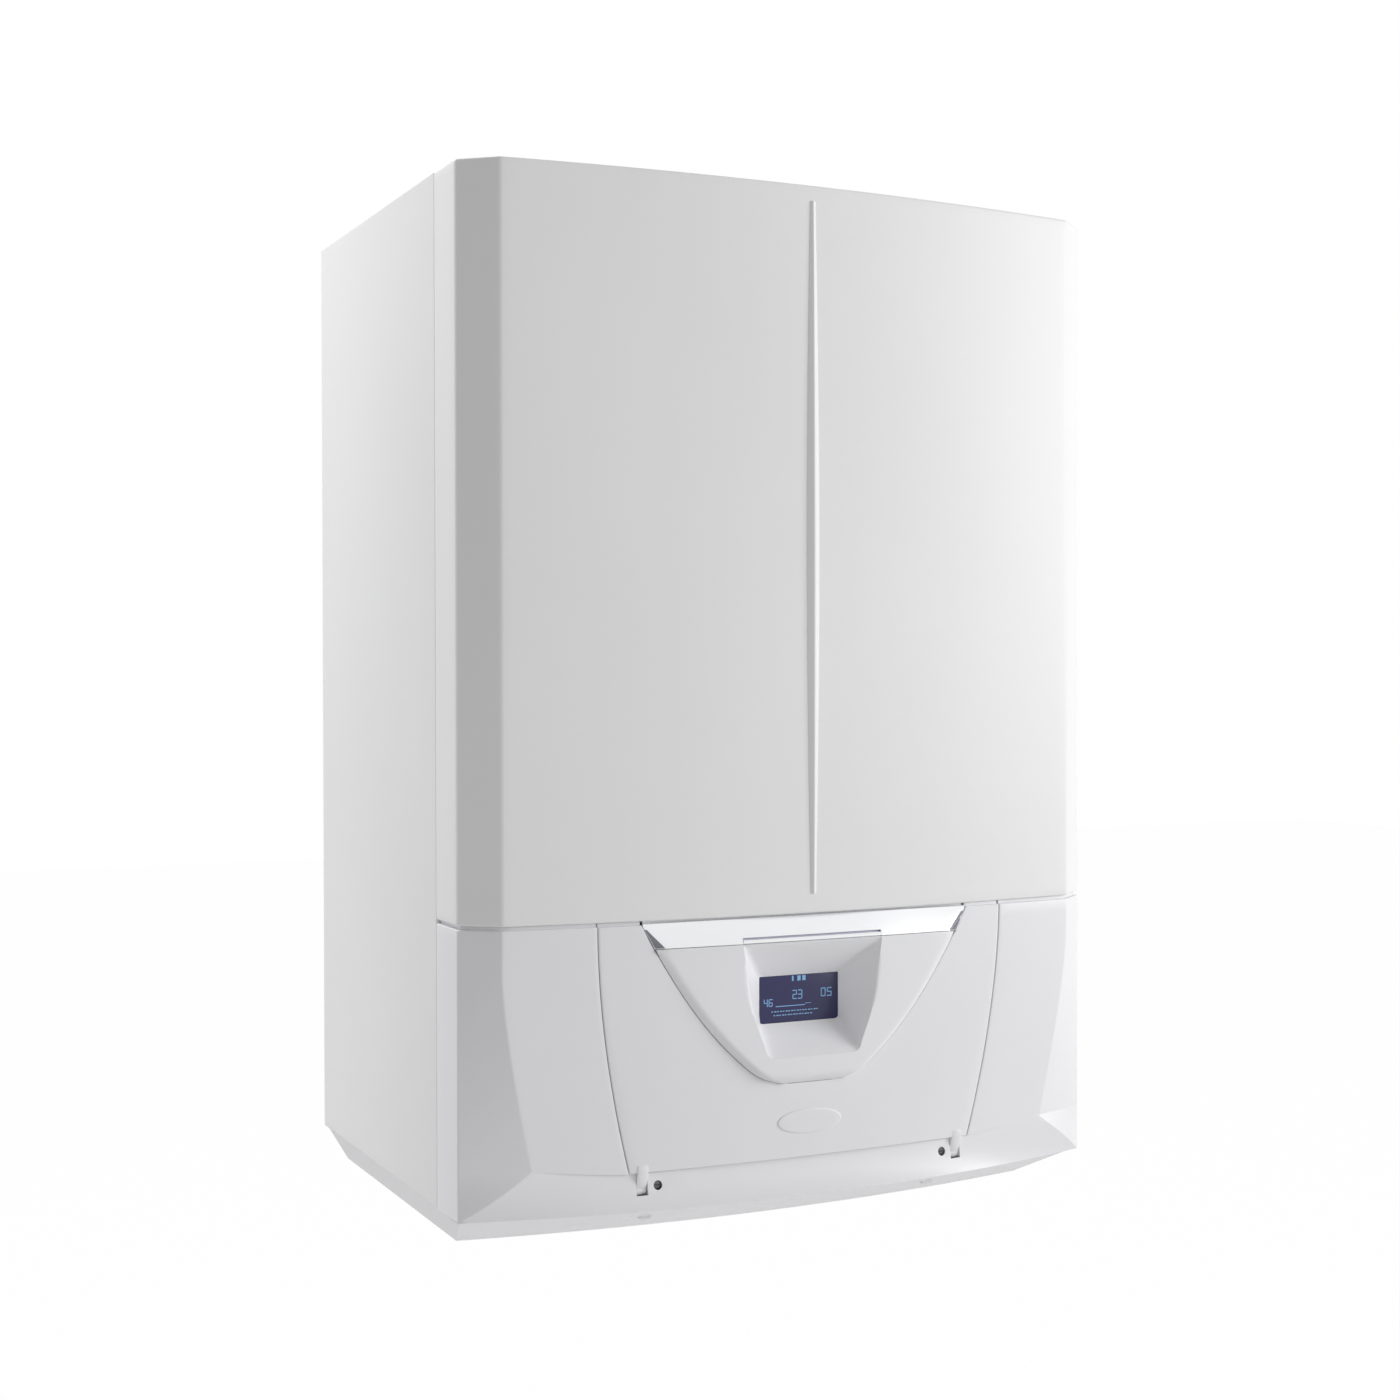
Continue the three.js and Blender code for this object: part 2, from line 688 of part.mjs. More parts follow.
function flapHalfAt(z) {
  if (z >= flapShoulder) {
    const up = (z - flapShoulder) / (flapTop - flapShoulder);
    return flapShoulderHalf + (flapTopHalf - flapShoulderHalf) * up;
  }
  const footTop = flapBottom + flapFootRise;
  if (z >= footTop) {
    const drop = (flapShoulder - z) / (flapShoulder - footTop);
    return flapShoulderHalf - (flapShoulderHalf - flapFootHalf) * (0.76 * drop + 0.24 * drop ** 3);
  }
  return flapFootHalf * Math.max(0.02, (z - flapBottom + 0.3) / (flapFootRise + 0.3)) ** 0.286;
}

const flapRows = [
  ...[0, 0.06, 0.17, 0.38, 0.66, 1].map((share) => flapBottom + flapFootRise * share),
  ...[0.236, 0.38, 0.55, 0.72, 0.86, 1].map((share) => flapBottom + (flapShoulder - flapBottom) * share),
  flapTop,
];

// The flap's outside: a face near the front plane, soft flanks at its sides and foot, and a
// shoulder that slopes back to the seam above.
function flapBody(inset, backY) {
  const rings = flapRows.map((level) => {
    const low = level - flapBottom < flapFlank;
    const z = level + (low ? inset * 1.4 : 0) - (level === flapTop ? inset : 0);
    const half = flapHalfAt(level) - inset * 1.3;
    const shoulderUp = Math.max(0, (level - flapShoulder) / (flapTop - flapShoulder));
    const footUp = Math.min(1, (level - flapBottom) / 12);
    const rise = Math.sin((footUp * Math.PI) / 2);
    const flank = flapFlank * (1 - shoulderUp) * (0.55 + 0.45 * rise);
    const sideY = lowerFrontY(half, level);
    const edgeY = sideY + (flapShoulderY + 0.3 - sideY) * shoulderUp + inset;
    const ring = [[-half, backY, z]];
    for (const share of [-1, -0.86, -0.6, -0.3, 0, 0.3, 0.6, 0.86, 1]) {
      const x = share * (half - flank);
      const baseY = lowerFrontY(x, level);
      const faceY = flapFaceY + 5 * (x / flapShoulderHalf) ** 2;
      const raised = baseY + (faceY - baseY) * rise;
      const y = raised + (flapShoulderY - raised) * shoulderUp;
      if (share === -1) ring.push([-half, edgeY, z]);
      ring.push([x, Math.min(y, shoulderUp < 1 ? baseY : y) + inset, z]);
      if (share === 1) ring.push([half, edgeY, z]);
    }
    ring.push([half, backY, z]);
    return ring;
  });
  return loft(rings);
}

function flapOutline(grow, topZ) {
  const right = flapRows.map((level) => [flapHalfAt(level) + grow, level]);
  right[0][1] -= grow;
  right.push([flapTopHalf + grow, topZ]);
  return outline([...right, ...right.map(([x, z]) => [-x, z]).reverse()]);
}

// A ring of the funnel between its rim on the flap's face and its window before the display.
function funnelRing(share, grow) {
  const towards = (rim, window) => rim + (window - rim) * share;
  const halfTop = towards(funnelTopHalf, windowWidth / 2);
  const halfMid = towards(funnelMidHalf, windowWidth / 2);
  const halfBottom = towards(funnelBottomHalf, windowWidth / 2);
  const top = towards(funnelTop, lensMidZ + windowHeight / 2);
  const bottom = towards(funnelBottom, lensMidZ - windowHeight / 2);
  const y = towards(flapFaceY - 0.2, panelY - lensProud - windowGap);
  const round = towards(funnelRound, 3);
  const quarter = (halfTop + halfMid * 3) / 4 + (1 - share);
  const right = [
    [halfTop + grow, top + grow], [quarter + grow, top * 0.7 + bottom * 0.3],
    [halfMid + grow, (top + bottom) / 2],
    [(halfMid + halfBottom) / 2 + (1 - share) + grow, top * 0.25 + bottom * 0.75],
    [halfBottom + grow, bottom + round - grow * 0.4],
    [halfBottom - round * 0.3 + grow * 0.7, bottom + round * 0.25 - grow * 0.7],
    [halfBottom - round + grow * 0.4, bottom - grow],
  ];
  const ring = [...right, ...right.map(([x, z]) => [-x, z]).reverse()];
  return ring.map(([x, z]) => [x, y, z]);
}

function makeFlap() {
  const stripSplit = flapShoulder + 0.2;
  const gripHalf = funnelTopHalf - fitGap;
  const gripTop = funnelTop + fitGap + gripTall;
  const outer = flapBody(0, flapRimY);
  const inner = flapBody(flapSkin, flapRimY + 6);
  const below = box([-200, 200], [-60, 20], [100, stripSplit]);
  const above = box([-200, 200], [-60, 20], [stripSplit + fitGap, 300]);
  const wedge = outer.intersect(above);
  const core = (depth) => outer.translate([0, depth, 0]).scale([1.003, 1, 1]);
  const layer = cut(wedge, core(trimLayer), flapBodySide());
  const gripRoom = box([-gripHalf - fitGap, gripHalf + fitGap], [-60, 20],
    [flapShoulder - 20, gripTop + fitGap]);
  const trim = cut(layer, gripRoom);
  const grip = layer.translate([0, -0.3, 0]).intersect(
    box([-gripHalf, gripHalf], [-60, 20], [stripSplit + 0.4, gripTop]));
  const behind = core(trimLayer + fitGap).intersect(outer)
    .intersect(box([-200, 200], [-60, 20], [stripSplit - 1, 300]));
  const shell = cut(join(outer.intersect(below), behind), inner);
  const moved = (ring, dy) => ring.map(([x, y, z]) => [x, y + dy, z]);
  const funnelWall = cut(loft([funnelRing(0.12, flapSkin), funnelRing(1, flapSkin)]),
    cut(above, core(trimLayer + fitGap)));
  const rim = funnelRing(0, 0);
  const end = funnelRing(1, 0);
  const funnelHole = loft([moved(rim, -10), rim, end, moved(end, 5)]);
  let flap = cut(join(shell, funnelWall), funnelHole);
  for (const side of [-1, 1]) {
    const x = side * flapPivotX;
    const arm = flapArmWidth / 2;
    const sweep = rod("x", [x - arm - fitGap, flapPivotY, flapPivotZ], 2 * (arm + fitGap), 10.5, 20);
    const keepFront = box([x - 20, x + 20], [-60, flapPivotY - 2.2], [100, 170]);
    const cheeks = [-1, 1].map((face) => {
      const edge = x + face * (arm + fitGap + flapCheekWidth / 2);
      return box([edge - flapCheekWidth / 2, edge + flapCheekWidth / 2],
        [flapPivotY - 4.5, flapPivotY + 3], [flapPivotZ - 3, flapPivotZ + 3]);
    });
    flap = join(cut(flap, cut(sweep, keepFront)), ...cheeks);
    flap = cut(flap, rod("x", [x - 9, flapPivotY, flapPivotZ], 18, flapPinRadius + fitGap, 12));
    place(side < 0 ? "flap_pin_left" : "flap_pin_right",
      rod("x", [x - 5.2, flapPivotY, flapPivotZ], 10.4, flapPinRadius, 12), zincSheet);
  }
  place("shield_flap", cut(flap, layer, layer.translate([0, fitGap, 0])), whitePlastic);
  place("flap_top_trim", trim, glossTrim);
  place("flap_grip_bar", grip, glossTrim);
}

// Space behind the trim strip that its two ends may not reach into.
function flapBodySide() {
  return box([-200, 200], [-9, 20], [240, 300]);
}

function makeFascia() {
  const skin = cut(fasciaBody(0, 20), fasciaBody(moulding, 30));
  const shape = prismY(fasciaOutline(-fasciaSeam / 2, fasciaTop), -40, 40);
  const opening = prismY(flapOutline(flapSeam, fasciaTop + 20), -40, 40);
  let fascia = cut(skin.intersect(shape), opening);
  for (const side of [-1, 1]) {
    const x = side * knuckleX;
    const half = knuckleWidth / 2;
    const arm = outline([
      [tiltY - knuckleRadius, tiltZ], [tiltY - knuckleRadius - 4.2, sillHeight + 1.5],
      [tiltY - knuckleRadius - 4.2, sillHeight + 7], [tiltY - 4.5, sillHeight + 7],
      [tiltY + 1, tiltZ + 3],
    ]);
    const knuckle = rod("x", [x - half, tiltY, tiltZ], knuckleWidth, knuckleRadius, 24);
    const bore = rod("x", [x - 9, tiltY, tiltZ], 18, tiltPinRadius + fitGap, 16);
    fascia = cut(join(fascia, prismX(arm, x - half, x + half), knuckle), bore);
    for (const [bossX, bossZ] of [[panelHalf - 8, 240], [panelHalf - 40, 135]]) {
      const y = lowerFrontY(bossX, bossZ) + 1.5;
      fascia = join(fascia, rod("y", [side * bossX, y, bossZ], panelY - fitGap - y, 4.5, 12));
    }
  }
  place("control_fascia", fascia, whitePlastic);
  const badge = new THREE.Shape().absellipse(0, 95, 30.5, 10.5, 0, 2 * Math.PI);
  const plate = prismY(badge, -40, 40, 24)
    .intersect(cut(fasciaBody(-1.1 - fitGap, 20), fasciaBody(-fitGap, 30)));
  place("badge_plate", plate, glossTrim);
}

// The panel behind the flap: a plate with the display window, button guides and the flap's arms.
function makeControlPanel() {
  const plate = box([-panelHalf, panelHalf], [panelY, panelY + panelThickness],
    [panelBottomZ, panelTopZ]);
  const window = box([-lensWidth / 2 - fitGap, lensWidth / 2 + fitGap], [panelY - 5, panelY + 9],
    [lensMidZ - lensHeight / 2 - fitGap, lensMidZ + lensHeight / 2 + fitGap]);
  const rear = [-1, 1].flatMap((side) => buttonPlaces.map(([x, z]) =>
    rod("y", [side * x, panelY, z], panelThickness + 4, buttonRadius + 2, 14)));
  const guides = [-1, 1].flatMap((side) => buttonPlaces.map(([x, z]) =>
    rod("y", [side * x, panelY - 5, z], 20, buttonRadius + fitGap, 14)));
  const arms = [-1, 1].map((side) => {
    const x0 = side * flapPivotX - flapArmWidth / 2;
    const bar = box([x0, x0 + flapArmWidth], [flapPivotY, panelY + 1],
      [flapPivotZ - 2, flapPivotZ + 2]);
    const eye = rod("x", [x0, flapPivotY, flapPivotZ], flapArmWidth, 2, 16);
    return join(bar, eye);
  });
  const pins = [-1, 1].map((side) =>
    rod("x", [side * flapPivotX - 9, flapPivotY, flapPivotZ], 18, flapPinRadius + 0.15, 12));
  place("control_panel", cut(join(plate, ...rear, ...arms), window, ...guides, ...pins), greyPlastic);
  const lens = box([-lensWidth / 2, lensWidth / 2], [panelY - lensProud, panelY + lensThickness],
    [lensMidZ - lensHeight / 2, lensMidZ + lensHeight / 2]);
  place("display_lens", lens, lensGlass);
}

function makeButtons() {
  const names = ["up", "down", "mode"];
  for (const [sideName, side] of [["left", -1], ["right", 1]]) {
    buttonPlaces.forEach(([x, z], k) => {
      const stem = rod("y", [side * x, panelY - buttonProud, z], buttonProud + 7, buttonRadius, 14);
      place("button_" + sideName + "_" + names[k], stem, k === 2 ? darkPlastic : whitePlastic);
    });
  }
}

function makeControlBox() {
  const front = panelY + panelThickness + fitGap;
  const half = panelHalf - boxInset;
  const z0 = panelBottomZ + boxInset;
  const z1 = panelTopZ - boxInset;
  const shell = cut(
    box([-half, half], [front, front + boxDepth], [z0, z1]),
    box([-half + boxWall, half - boxWall], [front - 5, front + boxDepth - boxWall],
      [z0 + boxWall, z1 - boxWall]),
  );
  const boardY = front + 18;
  const posts = [-1, 1].flatMap((sx) => [z0 + 14, z1 - 14].map((z) =>
    rod("y", [sx * (half - 14), boardY + 1.6 + fitGap, z], boxDepth - 19.8, 4, 10)));
  place("control_box", join(shell, ...posts), greyPlastic);
  const board = box([-half + 6, half - 6], [boardY, boardY + 1.6], [z0 + 6, z1 - 6]);
  const relays = [-110, -80, 60, 90, 118].map((x) =>
    box([x - 9, x + 9], [boardY - 9, boardY + 0.5], [z0 + 24, z0 + 46]));
  const sockets = [-60, -20, 20].map((x) =>
    box([x - 14, x + 14], [boardY - 7, boardY + 0.5], [z0 + 12, z0 + 24]));
  const displayBack = box([-lensWidth / 2 + 4, lensWidth / 2 - 4],
    [panelY + lensThickness + fitGap, boardY + 0.5],
    [lensMidZ - 16, lensMidZ + 16]);
  place("control_board", join(board, ...relays, ...sockets, displayBack), greenBoard);
}

// ---- Top fittings ----

function makeFlue() {
  const seat = caseHeight + fitGap;
  const gasket = turned([flueX, flueY, seat], [
    [flueCollar - 6, 0], [flueFlange, 0], [flueFlange, 2], [flueCollar - 6, 2], [flueCollar - 6, 0],
  ]);
  place("flue_gasket", gasket, rubber);
  const flange = turned([flueX, flueY, seat + 2 + fitGap], [
    [flueBore, 0], [flueFlange, 0], [flueFlange, 5], [flueCollar, 5], [flueCollar, flueRise],
    [flueCollar - 3, flueRise], [flueCollar - 3, 8], [flueBore + 2.5, 8],
    [flueBore + 2.5, flueRise], [flueBore, flueRise], [flueBore, 0],
  ]);
  place("flue_flange", flange, darkPlastic);
  for (const [name, x] of capPlaces) {
    const cap = turned([x, flueY, seat], [
      [0, 0], [capRadius, 0], [capRadius, 3], [capRadius - 4, 5], [14, 5], [12, 8], [0, 8],
    ]);
    place("air_cap_" + name, cap, darkPlastic);
  }
}

// ---- Inside ----

function makeTank() {
  const dome = 42;
  const inner = tankRadius - tankWall;
  const tank = turned([tankX, tankY, shelfZ + shelfSheet + fitGap], [
    [20, 0], [105, 0], [tankRadius - 14, 14], [tankRadius, dome], [tankRadius, tankHeight - dome],
    [tankRadius - 30, tankHeight - 14], [70, tankHeight - 2], [0, tankHeight],
    [0, tankHeight - tankWall], [70, tankHeight - 5], [inner - 30, tankHeight - 17],
    [inner, tankHeight - dome], [inner, dome], [inner - 14, 17], [105, tankWall], [20, tankWall],
    [20, 0],
  ]);
  place("storage_tank", tank, stainless);
}

function makeExchanger() {
  const length = exchangerBackY - exchangerFrontY;
  const wall = 3;
  const shell = turnedAlongY([exchangerX, exchangerFrontY, exchangerZ], [
    [exchangerRadius - 22, 0], [exchangerRadius, 0], [exchangerRadius, length], [0, length],
    [0, length - wall], [exchangerRadius - wall, length - wall], [exchangerRadius - wall, wall],
    [exchangerRadius - 22, wall], [exchangerRadius - 22, 0],
  ]);
  const drain = rod("z", [exchangerX - 40, 200, exchangerZ - 104], 16, 9.6, 16);
  const bore = rod("z", [exchangerX - 40, 200, exchangerZ - 105], 30, 7, 16);
  place("heat_exchanger", cut(join(shell, drain), bore), stainless);
  const doorY = exchangerFrontY - fitGap - doorThickness;
  const door = turnedAlongY([exchangerX, doorY, exchangerZ], [
    [0, 0], [exchangerRadius - 24, 0], [exchangerRadius - 10, 4], [exchangerRadius - 6, doorThickness],
    [0, doorThickness],
  ]);
  place("burner_door", door, castAlloy);
}

function makeFan() {
  const back = exchangerFrontY - fitGap - doorThickness - fitGap;
  const front = back - fanDepth;
  const drum = rod("y", [exchangerX, front, fanZ], fanDepth, fanRadius, 32);
  const room = rod("y", [exchangerX, front + 6, fanZ], fanDepth - 18, fanRadius - 7, 32);
  const inlet = rod("y", [exchangerX, front - 5, fanZ], 20, 24, 24);
  const bearing = rod("y", [exchangerX, back - 20, fanZ], 15, shaftRadius + fitGap, 16);
  place("fan_housing", cut(drum, room, inlet, bearing), castAlloy);
  const wheelY = front + 9;
  const disc = rod("y", [exchangerX, wheelY + 20, fanZ], 3, impellerRadius, 32);
  const shaft = rod("y", [exchangerX, wheelY + 3, fanZ], back - 8 - wheelY - 3, shaftRadius, 16);
  const blades = [];
  for (let k = 0; k < 8; k++) {
    const blade = box([16, impellerRadius - 1], [wheelY, wheelY + 21], [-1, 1]);
    blades.push(blade.rotate([0, (k * 360) / 8, 0]).translate([exchangerX, 0, fanZ]));
  }
  place("fan_impeller", join(disc, shaft, ...blades), castAlloy);
  const valveTop = fanZ - fanRadius - fitGap;
  const midY = (front + back) / 2;
  const throat = rod("z", [exchangerX, midY, valveTop - 52], 52, 18, 20);
  const block = box([exchangerX - 32, exchangerX + 32], [midY - 24, midY + 24],
    [valveTop - 120, valveTop - 50]);
  const coils = [-16, 16].map((dx) => rod("y", [exchangerX + dx, midY - 42, valveTop - 86], 20, 13, 20));
  place("gas_valve", join(throat, block, ...coils), castAlloy);
  return { y: midY, z: valveTop - 120 - fitGap };
}

function makeDucts() {
  const low = exchangerZ + exchangerRadius - 2;
  const shellTop = Math.sqrt(exchangerRadius ** 2 - 42 ** 2) + exchangerZ;
  const tube = turned([flueX, flueY, 0], [
    [flueBore, shellTop - 12], [flueBore + 3, shellTop - 12], [flueBore + 3, caseHeight + 2],
    [flueBore, caseHeight + 2], [flueBore, shellTop - 12],
  ]);
  const clear = rod("y", [exchangerX, 100, exchangerZ], 260, exchangerRadius + 0.8, 28);
  place("exhaust_duct", cut(tube, clear), darkPlastic);
  const silencerTop = low - 40;
  const right = halfWidth - sheet - fitGap;
  const silencer = cut(
    box([right - 34, right], [110, 260], [silencerTop - 180, silencerTop]),
    box([right - 32, right - 2], [112, 258], [silencerTop - 178, silencerTop + 5]),
  );
  place("air_silencer", silencer, darkPlastic);
}

function makeVessels() {
  const back = frameFrontY - fitGap;
  const inner = vesselRadius - 2;
  const vessel = turnedAlongY([vesselX, back - vesselDepth, vesselZ], [
    [0, 0], [vesselRadius - 20, 4], [vesselRadius, 18], [vesselRadius, vesselDepth - 18],
    [vesselRadius - 20, vesselDepth - 2], [30, vesselDepth], [6, vesselDepth], [6, vesselDepth - 2],
    [30, vesselDepth - 2], [inner - 20, vesselDepth - 4], [inner, vesselDepth - 19], [inner, 19],
    [inner - 20, 6], [0, 2],
  ]);
  place("heating_expansion_vessel", vessel, redPaint);
  const top = shelfZ - fitGap;
  const outside = smallVesselRadius;
  const small = turned([-halfWidth + smallVesselSideGap + outside, 190, top - 112], [
    [0, 0], [outside - 17, 4], [outside, 22], [outside, 84], [outside - 17, 102], [10, 104],
    [10, 112], [6, 112], [6, 102], [outside - 19, 100], [outside - 2, 83], [outside - 2, 23],
    [outside - 18, 6], [0, 2],
  ], 20);
  place("hot_water_expansion_vessel", small, whitePaint);
}

function makeSiphon() {
  const top = exchangerZ - 104 - fitGap;
  const x = exchangerX - 40;
  const cup = turned([x, 200, 100], [
    [6, 0], [12, 0], [12, 10], [26, 14], [26, 96], [11, 104], [11, top - 100], [8, top - 100],
    [8, 102], [23, 92], [23, 18], [6, 12], [6, 0],
  ], 16);
  place("condensate_siphon", cup, greyPlastic);
}

// The pump and the diverting valve stand on the shelf over their pipes.
function makeHydraulics() {
  const seat = groupShelfZ + shelfSheet + fitGap;
  const rise = groupRise;
  const pumpX = pipes.back.x;
  const motorRadius = 34;
  const midZ = seat + motorRadius + 1;
  const block = box([pumpX - 22, pumpX + 22], [pipeY - 22, pipeY + 22], [seat, seat + rise]);
  const motor = rod("y", [pumpX, pipeY - 92, midZ], 72, motorRadius, 24);
  const room = rod("y", [pumpX, pipeY - 84, midZ], 56, 30, 24);
  const nose = rod("y", [pumpX, pipeY - 100, midZ], 20, 8, 16);
  const rotorBore = rod("y", [pumpX, pipeY - 30, midZ], 14, shaftRadius + fitGap, 16);
  const outlet = rod("x", [pumpX + 15, pipeY, midZ], pipes.flow.x - pumpX - 38 - fitGap, 13, 16);
  place("pump_body", cut(join(block, motor, outlet), room, nose, rotorBore), castAlloy);
  const rotor = rod("y", [pumpX, pipeY - 80, midZ], 50, 26, 24);
  const shaft = rod("y", [pumpX, pipeY - 96, midZ], 78, shaftRadius, 16);
  place("pump_rotor", join(rotor, shaft), stainless);
  const valveX = pipes.flow.x;
  const body = box([valveX - 23, valveX + 23], [pipeY - 22, pipeY + 22], [seat, seat + rise]);
  const neck = rod("y", [valveX, pipeY - 52, midZ], 32, 15, 20);
  const stemBore = rod("y", [valveX, pipeY - 60, midZ], 60, 4 + fitGap, 16);
  const capNeck = rod("z", [valveX, pipeY, seat + rise - 2], 12, 9, 16);
  place("three_way_valve", cut(join(body, neck, capNeck), stemBore), brass);
  place("valve_stem", join(
    rod("y", [valveX, pipeY - 64, midZ], 52, 4, 16),
    rod("y", [valveX, pipeY - 76, midZ], 12, 9, 16),
  ), stainless);
  const capZ = seat + rise + 10 + fitGap;
  const wings = box([valveX - 15, valveX + 15], [pipeY - 3, pipeY + 3], [capZ, capZ + 14]);
  place("safety_valve_cap", join(rod("z", [valveX, pipeY, capZ], 10, 11, 20), wings), redPaint);
}

function makePipes(gasInlet) {
  const tankSeat = shelfZ + shelfSheet;
  const groupSeat = groupShelfZ + shelfSheet;
  const bored = (name, shape, top) => cut(shape, rod("z", [pipes[name].x, pipeY, pipeBottom - 5],
    top - pipeBottom + 5, pipes[name].radius - pipeWall, 14));
  const upright = (name, top) => {
    const { x, radius } = pipes[name];
    const nut = rod("z", [x, pipeY, -16], 12, radius + 4, 6);
    return join(rod("z", [x, pipeY, pipeBottom], top - pipeBottom, radius, 14), nut);
  };
  const cockBody = (name) => join(
    rod("y", [pipes[name].x, pipeY - 18, cockZ], 36, 13.3, 18),
    rod("y", [pipes[name].x, pipeY - 26, cockZ], 10, 4, 12),
  );
  const through = (top) => top + 5;
  place("hot_water_pipe", bored("hot", upright("hot", tankSeat), through(tankSeat)), copper);
  place("return_pipe", bored("back", upright("back", groupSeat), through(groupSeat)), copper);
  place("flow_pipe", bored("flow", upright("flow", groupSeat), through(groupSeat)), copper);
  const cold = join(upright("cold", tankSeat), cockBody("cold"));
  place("cold_water_pipe", bored("cold", cold, through(tankSeat)), copper);
  const gasX = pipes.gas.x;
  const runZ = 200;
  const run = bentTube([
    [gasX, pipeY, 50], [gasX, pipeY, runZ], [gasX, gasInlet.y, runZ],
    [exchangerX, gasInlet.y, runZ], [exchangerX, gasInlet.y, gasInlet.z],
  ], pipes.gas.radius, 30, 34, 8);
  place("gas_pipe", bored("gas", join(upright("gas", 60), cockBody("gas"), run), 30), brass);
  for (const [name, material] of [["gas", yellowPaint], ["cold", redPaint]]) {
    const { x } = pipes[name];
    const leverY = pipeY - 26 - fitGap;
    const hub = rod("y", [x, leverY - 5, cockZ], 5, 7, 16);
    const blade = box([x - 4, x + 4], [leverY - 4.5, leverY - 1.5], [cockZ - leverLength, cockZ]);
    place(name + "_cock_lever", join(hub, blade), material);
  }
}

makeFrontCover();
makeRib();
makeSidePanels();
makeTopPanel();
makeSurround();
makeBottomCover();
makeRearFrame();
makeWallBracket();
makeWallSpacers();
makeFlap();
makeFascia();
makeControlPanel();
makeButtons();
makeControlBox();
makeFlue();
makeTank();
makeExchanger();
const gasInlet = makeFan();
makeDucts();
makeVessels();
makeSiphon();
makeHydraulics();
makePipes(gasInlet);

export default model;
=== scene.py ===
"""Wall-hung storage combi boiler: the look of each piece, the studio and the camera.

Sizes are drawn in millimetres with x = 0 at the casing's middle, y = 0 at the chord of the bowed
front and z = 0 under the bottom cover, and at() sets them in the frame, in metres.
"""
import bpy
import bmesh
import json
import math
from mathutils import Matrix, Vector


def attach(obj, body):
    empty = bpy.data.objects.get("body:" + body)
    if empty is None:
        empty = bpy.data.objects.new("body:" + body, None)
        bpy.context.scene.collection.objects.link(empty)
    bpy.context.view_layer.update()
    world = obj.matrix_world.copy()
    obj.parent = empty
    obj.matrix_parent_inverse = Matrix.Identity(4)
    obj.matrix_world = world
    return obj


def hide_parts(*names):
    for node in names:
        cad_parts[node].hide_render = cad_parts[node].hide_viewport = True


bl_info = {
    "name": "Storage combi boiler",
    "version": (1, 0, 0),
    "blender": (4, 5, 0),
    "location": "3D View > Sidebar > Boiler",
    "description": "Builds the boiler's casing, controls, fittings and studio on its frame",
    "category": "Add Mesh",
}

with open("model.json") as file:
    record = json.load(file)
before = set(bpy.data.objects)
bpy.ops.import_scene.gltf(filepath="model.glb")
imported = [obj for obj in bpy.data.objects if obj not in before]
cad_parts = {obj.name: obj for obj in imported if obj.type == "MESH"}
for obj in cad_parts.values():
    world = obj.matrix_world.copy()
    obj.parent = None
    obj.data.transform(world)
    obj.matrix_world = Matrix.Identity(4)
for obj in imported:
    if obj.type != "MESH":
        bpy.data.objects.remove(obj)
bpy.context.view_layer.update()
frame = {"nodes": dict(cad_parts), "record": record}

MM = 0.001
WALL = 448.0
RAIL = 820.0
HALF = 300.0
TOP = 880.0
SIDE_FRONT = 75.4
SIDE_REAR = 422.0
COVER_RETURN = 74.6
COVER_BOTTOM = 271.2
SURROUND_TOP = 268.2
EDGE_X = 270.5
CHAMFER_Y = 24.0
PAN_EDGE = 34.0
SILL = 64.0
FASCIA_TOP = 267.9
FLAP_SHOULDER = 248.0
FLAP_TOP = 266.4
FLAP_BOTTOM = 128.6
FUNNEL_TOP = 247.4
FUNNEL_FOOT = 151.5
PANEL = 9.0
LENS_Z = 196.0
PIN_X, PIN_Y, PIN_Z = 150.5, 6.0, 50.0
ARM_X = 29.5
SCREW_X, SCREW_Z, SCREW_HOLE = 136.5, 53.0, 3.8
FLUE_X, FLUE_Y = 140, 250
AIR_CAPS = {"left": 26, "right": 248}
SHARP = 35.0
FLOOR = -1.35
WELD = 2e-6
BUTTONS = {"up": (94.0, 232.0), "down": (89.0, 212.0), "mode": (83.5, 192.0)}


def at(x, y, z):
    return Vector((x, y - WALL, z - RAIL)) * MM


# ---- Settings ----

class CasingSizes(bpy.types.PropertyGroup):
    """Sizes of the casing's edges and sheets."""
    bow: bpy.props.FloatProperty(name="Front bow", default=0.018, unit="LENGTH",
                                 description="How far the front cover bows out at its middle")
    fold: bpy.props.FloatProperty(name="Fold radius", default=0.0018, unit="LENGTH",
                                  description="Outer radius of the folded steel edges")
    moulded: bpy.props.FloatProperty(name="Moulded radius", default=0.0009, unit="LENGTH",
                                     description="Radius of the mouldings' edges")
    sheet: bpy.props.FloatProperty(name="Sheet", default=0.0012, unit="LENGTH",
                                   description="Thickness of the painted steel")
    wall: bpy.props.FloatProperty(name="Moulding wall", default=0.0024, unit="LENGTH",
                                  description="Thickness of the plastic mouldings")


class CasingColours(bpy.types.PropertyGroup):
    """Colours of the casing and its controls."""
    paint: bpy.props.FloatVectorProperty(name="Paint", default=(0.84, 0.84, 0.845), size=3,
                                         subtype="COLOR", description="Powder coat of the steel")
    plastic: bpy.props.FloatVectorProperty(name="Mouldings", default=(0.82, 0.82, 0.84), size=3,
                                           subtype="COLOR", description="White mouldings")
    display: bpy.props.FloatVectorProperty(name="Display", default=(0.012, 0.011, 0.07), size=3,
                                           subtype="COLOR", description="Dark glass of the display")
    glyphs: bpy.props.FloatVectorProperty(name="Display marks", default=(0.16, 0.32, 0.52), size=3,
                                          subtype="COLOR", description="Lit marks on the display")


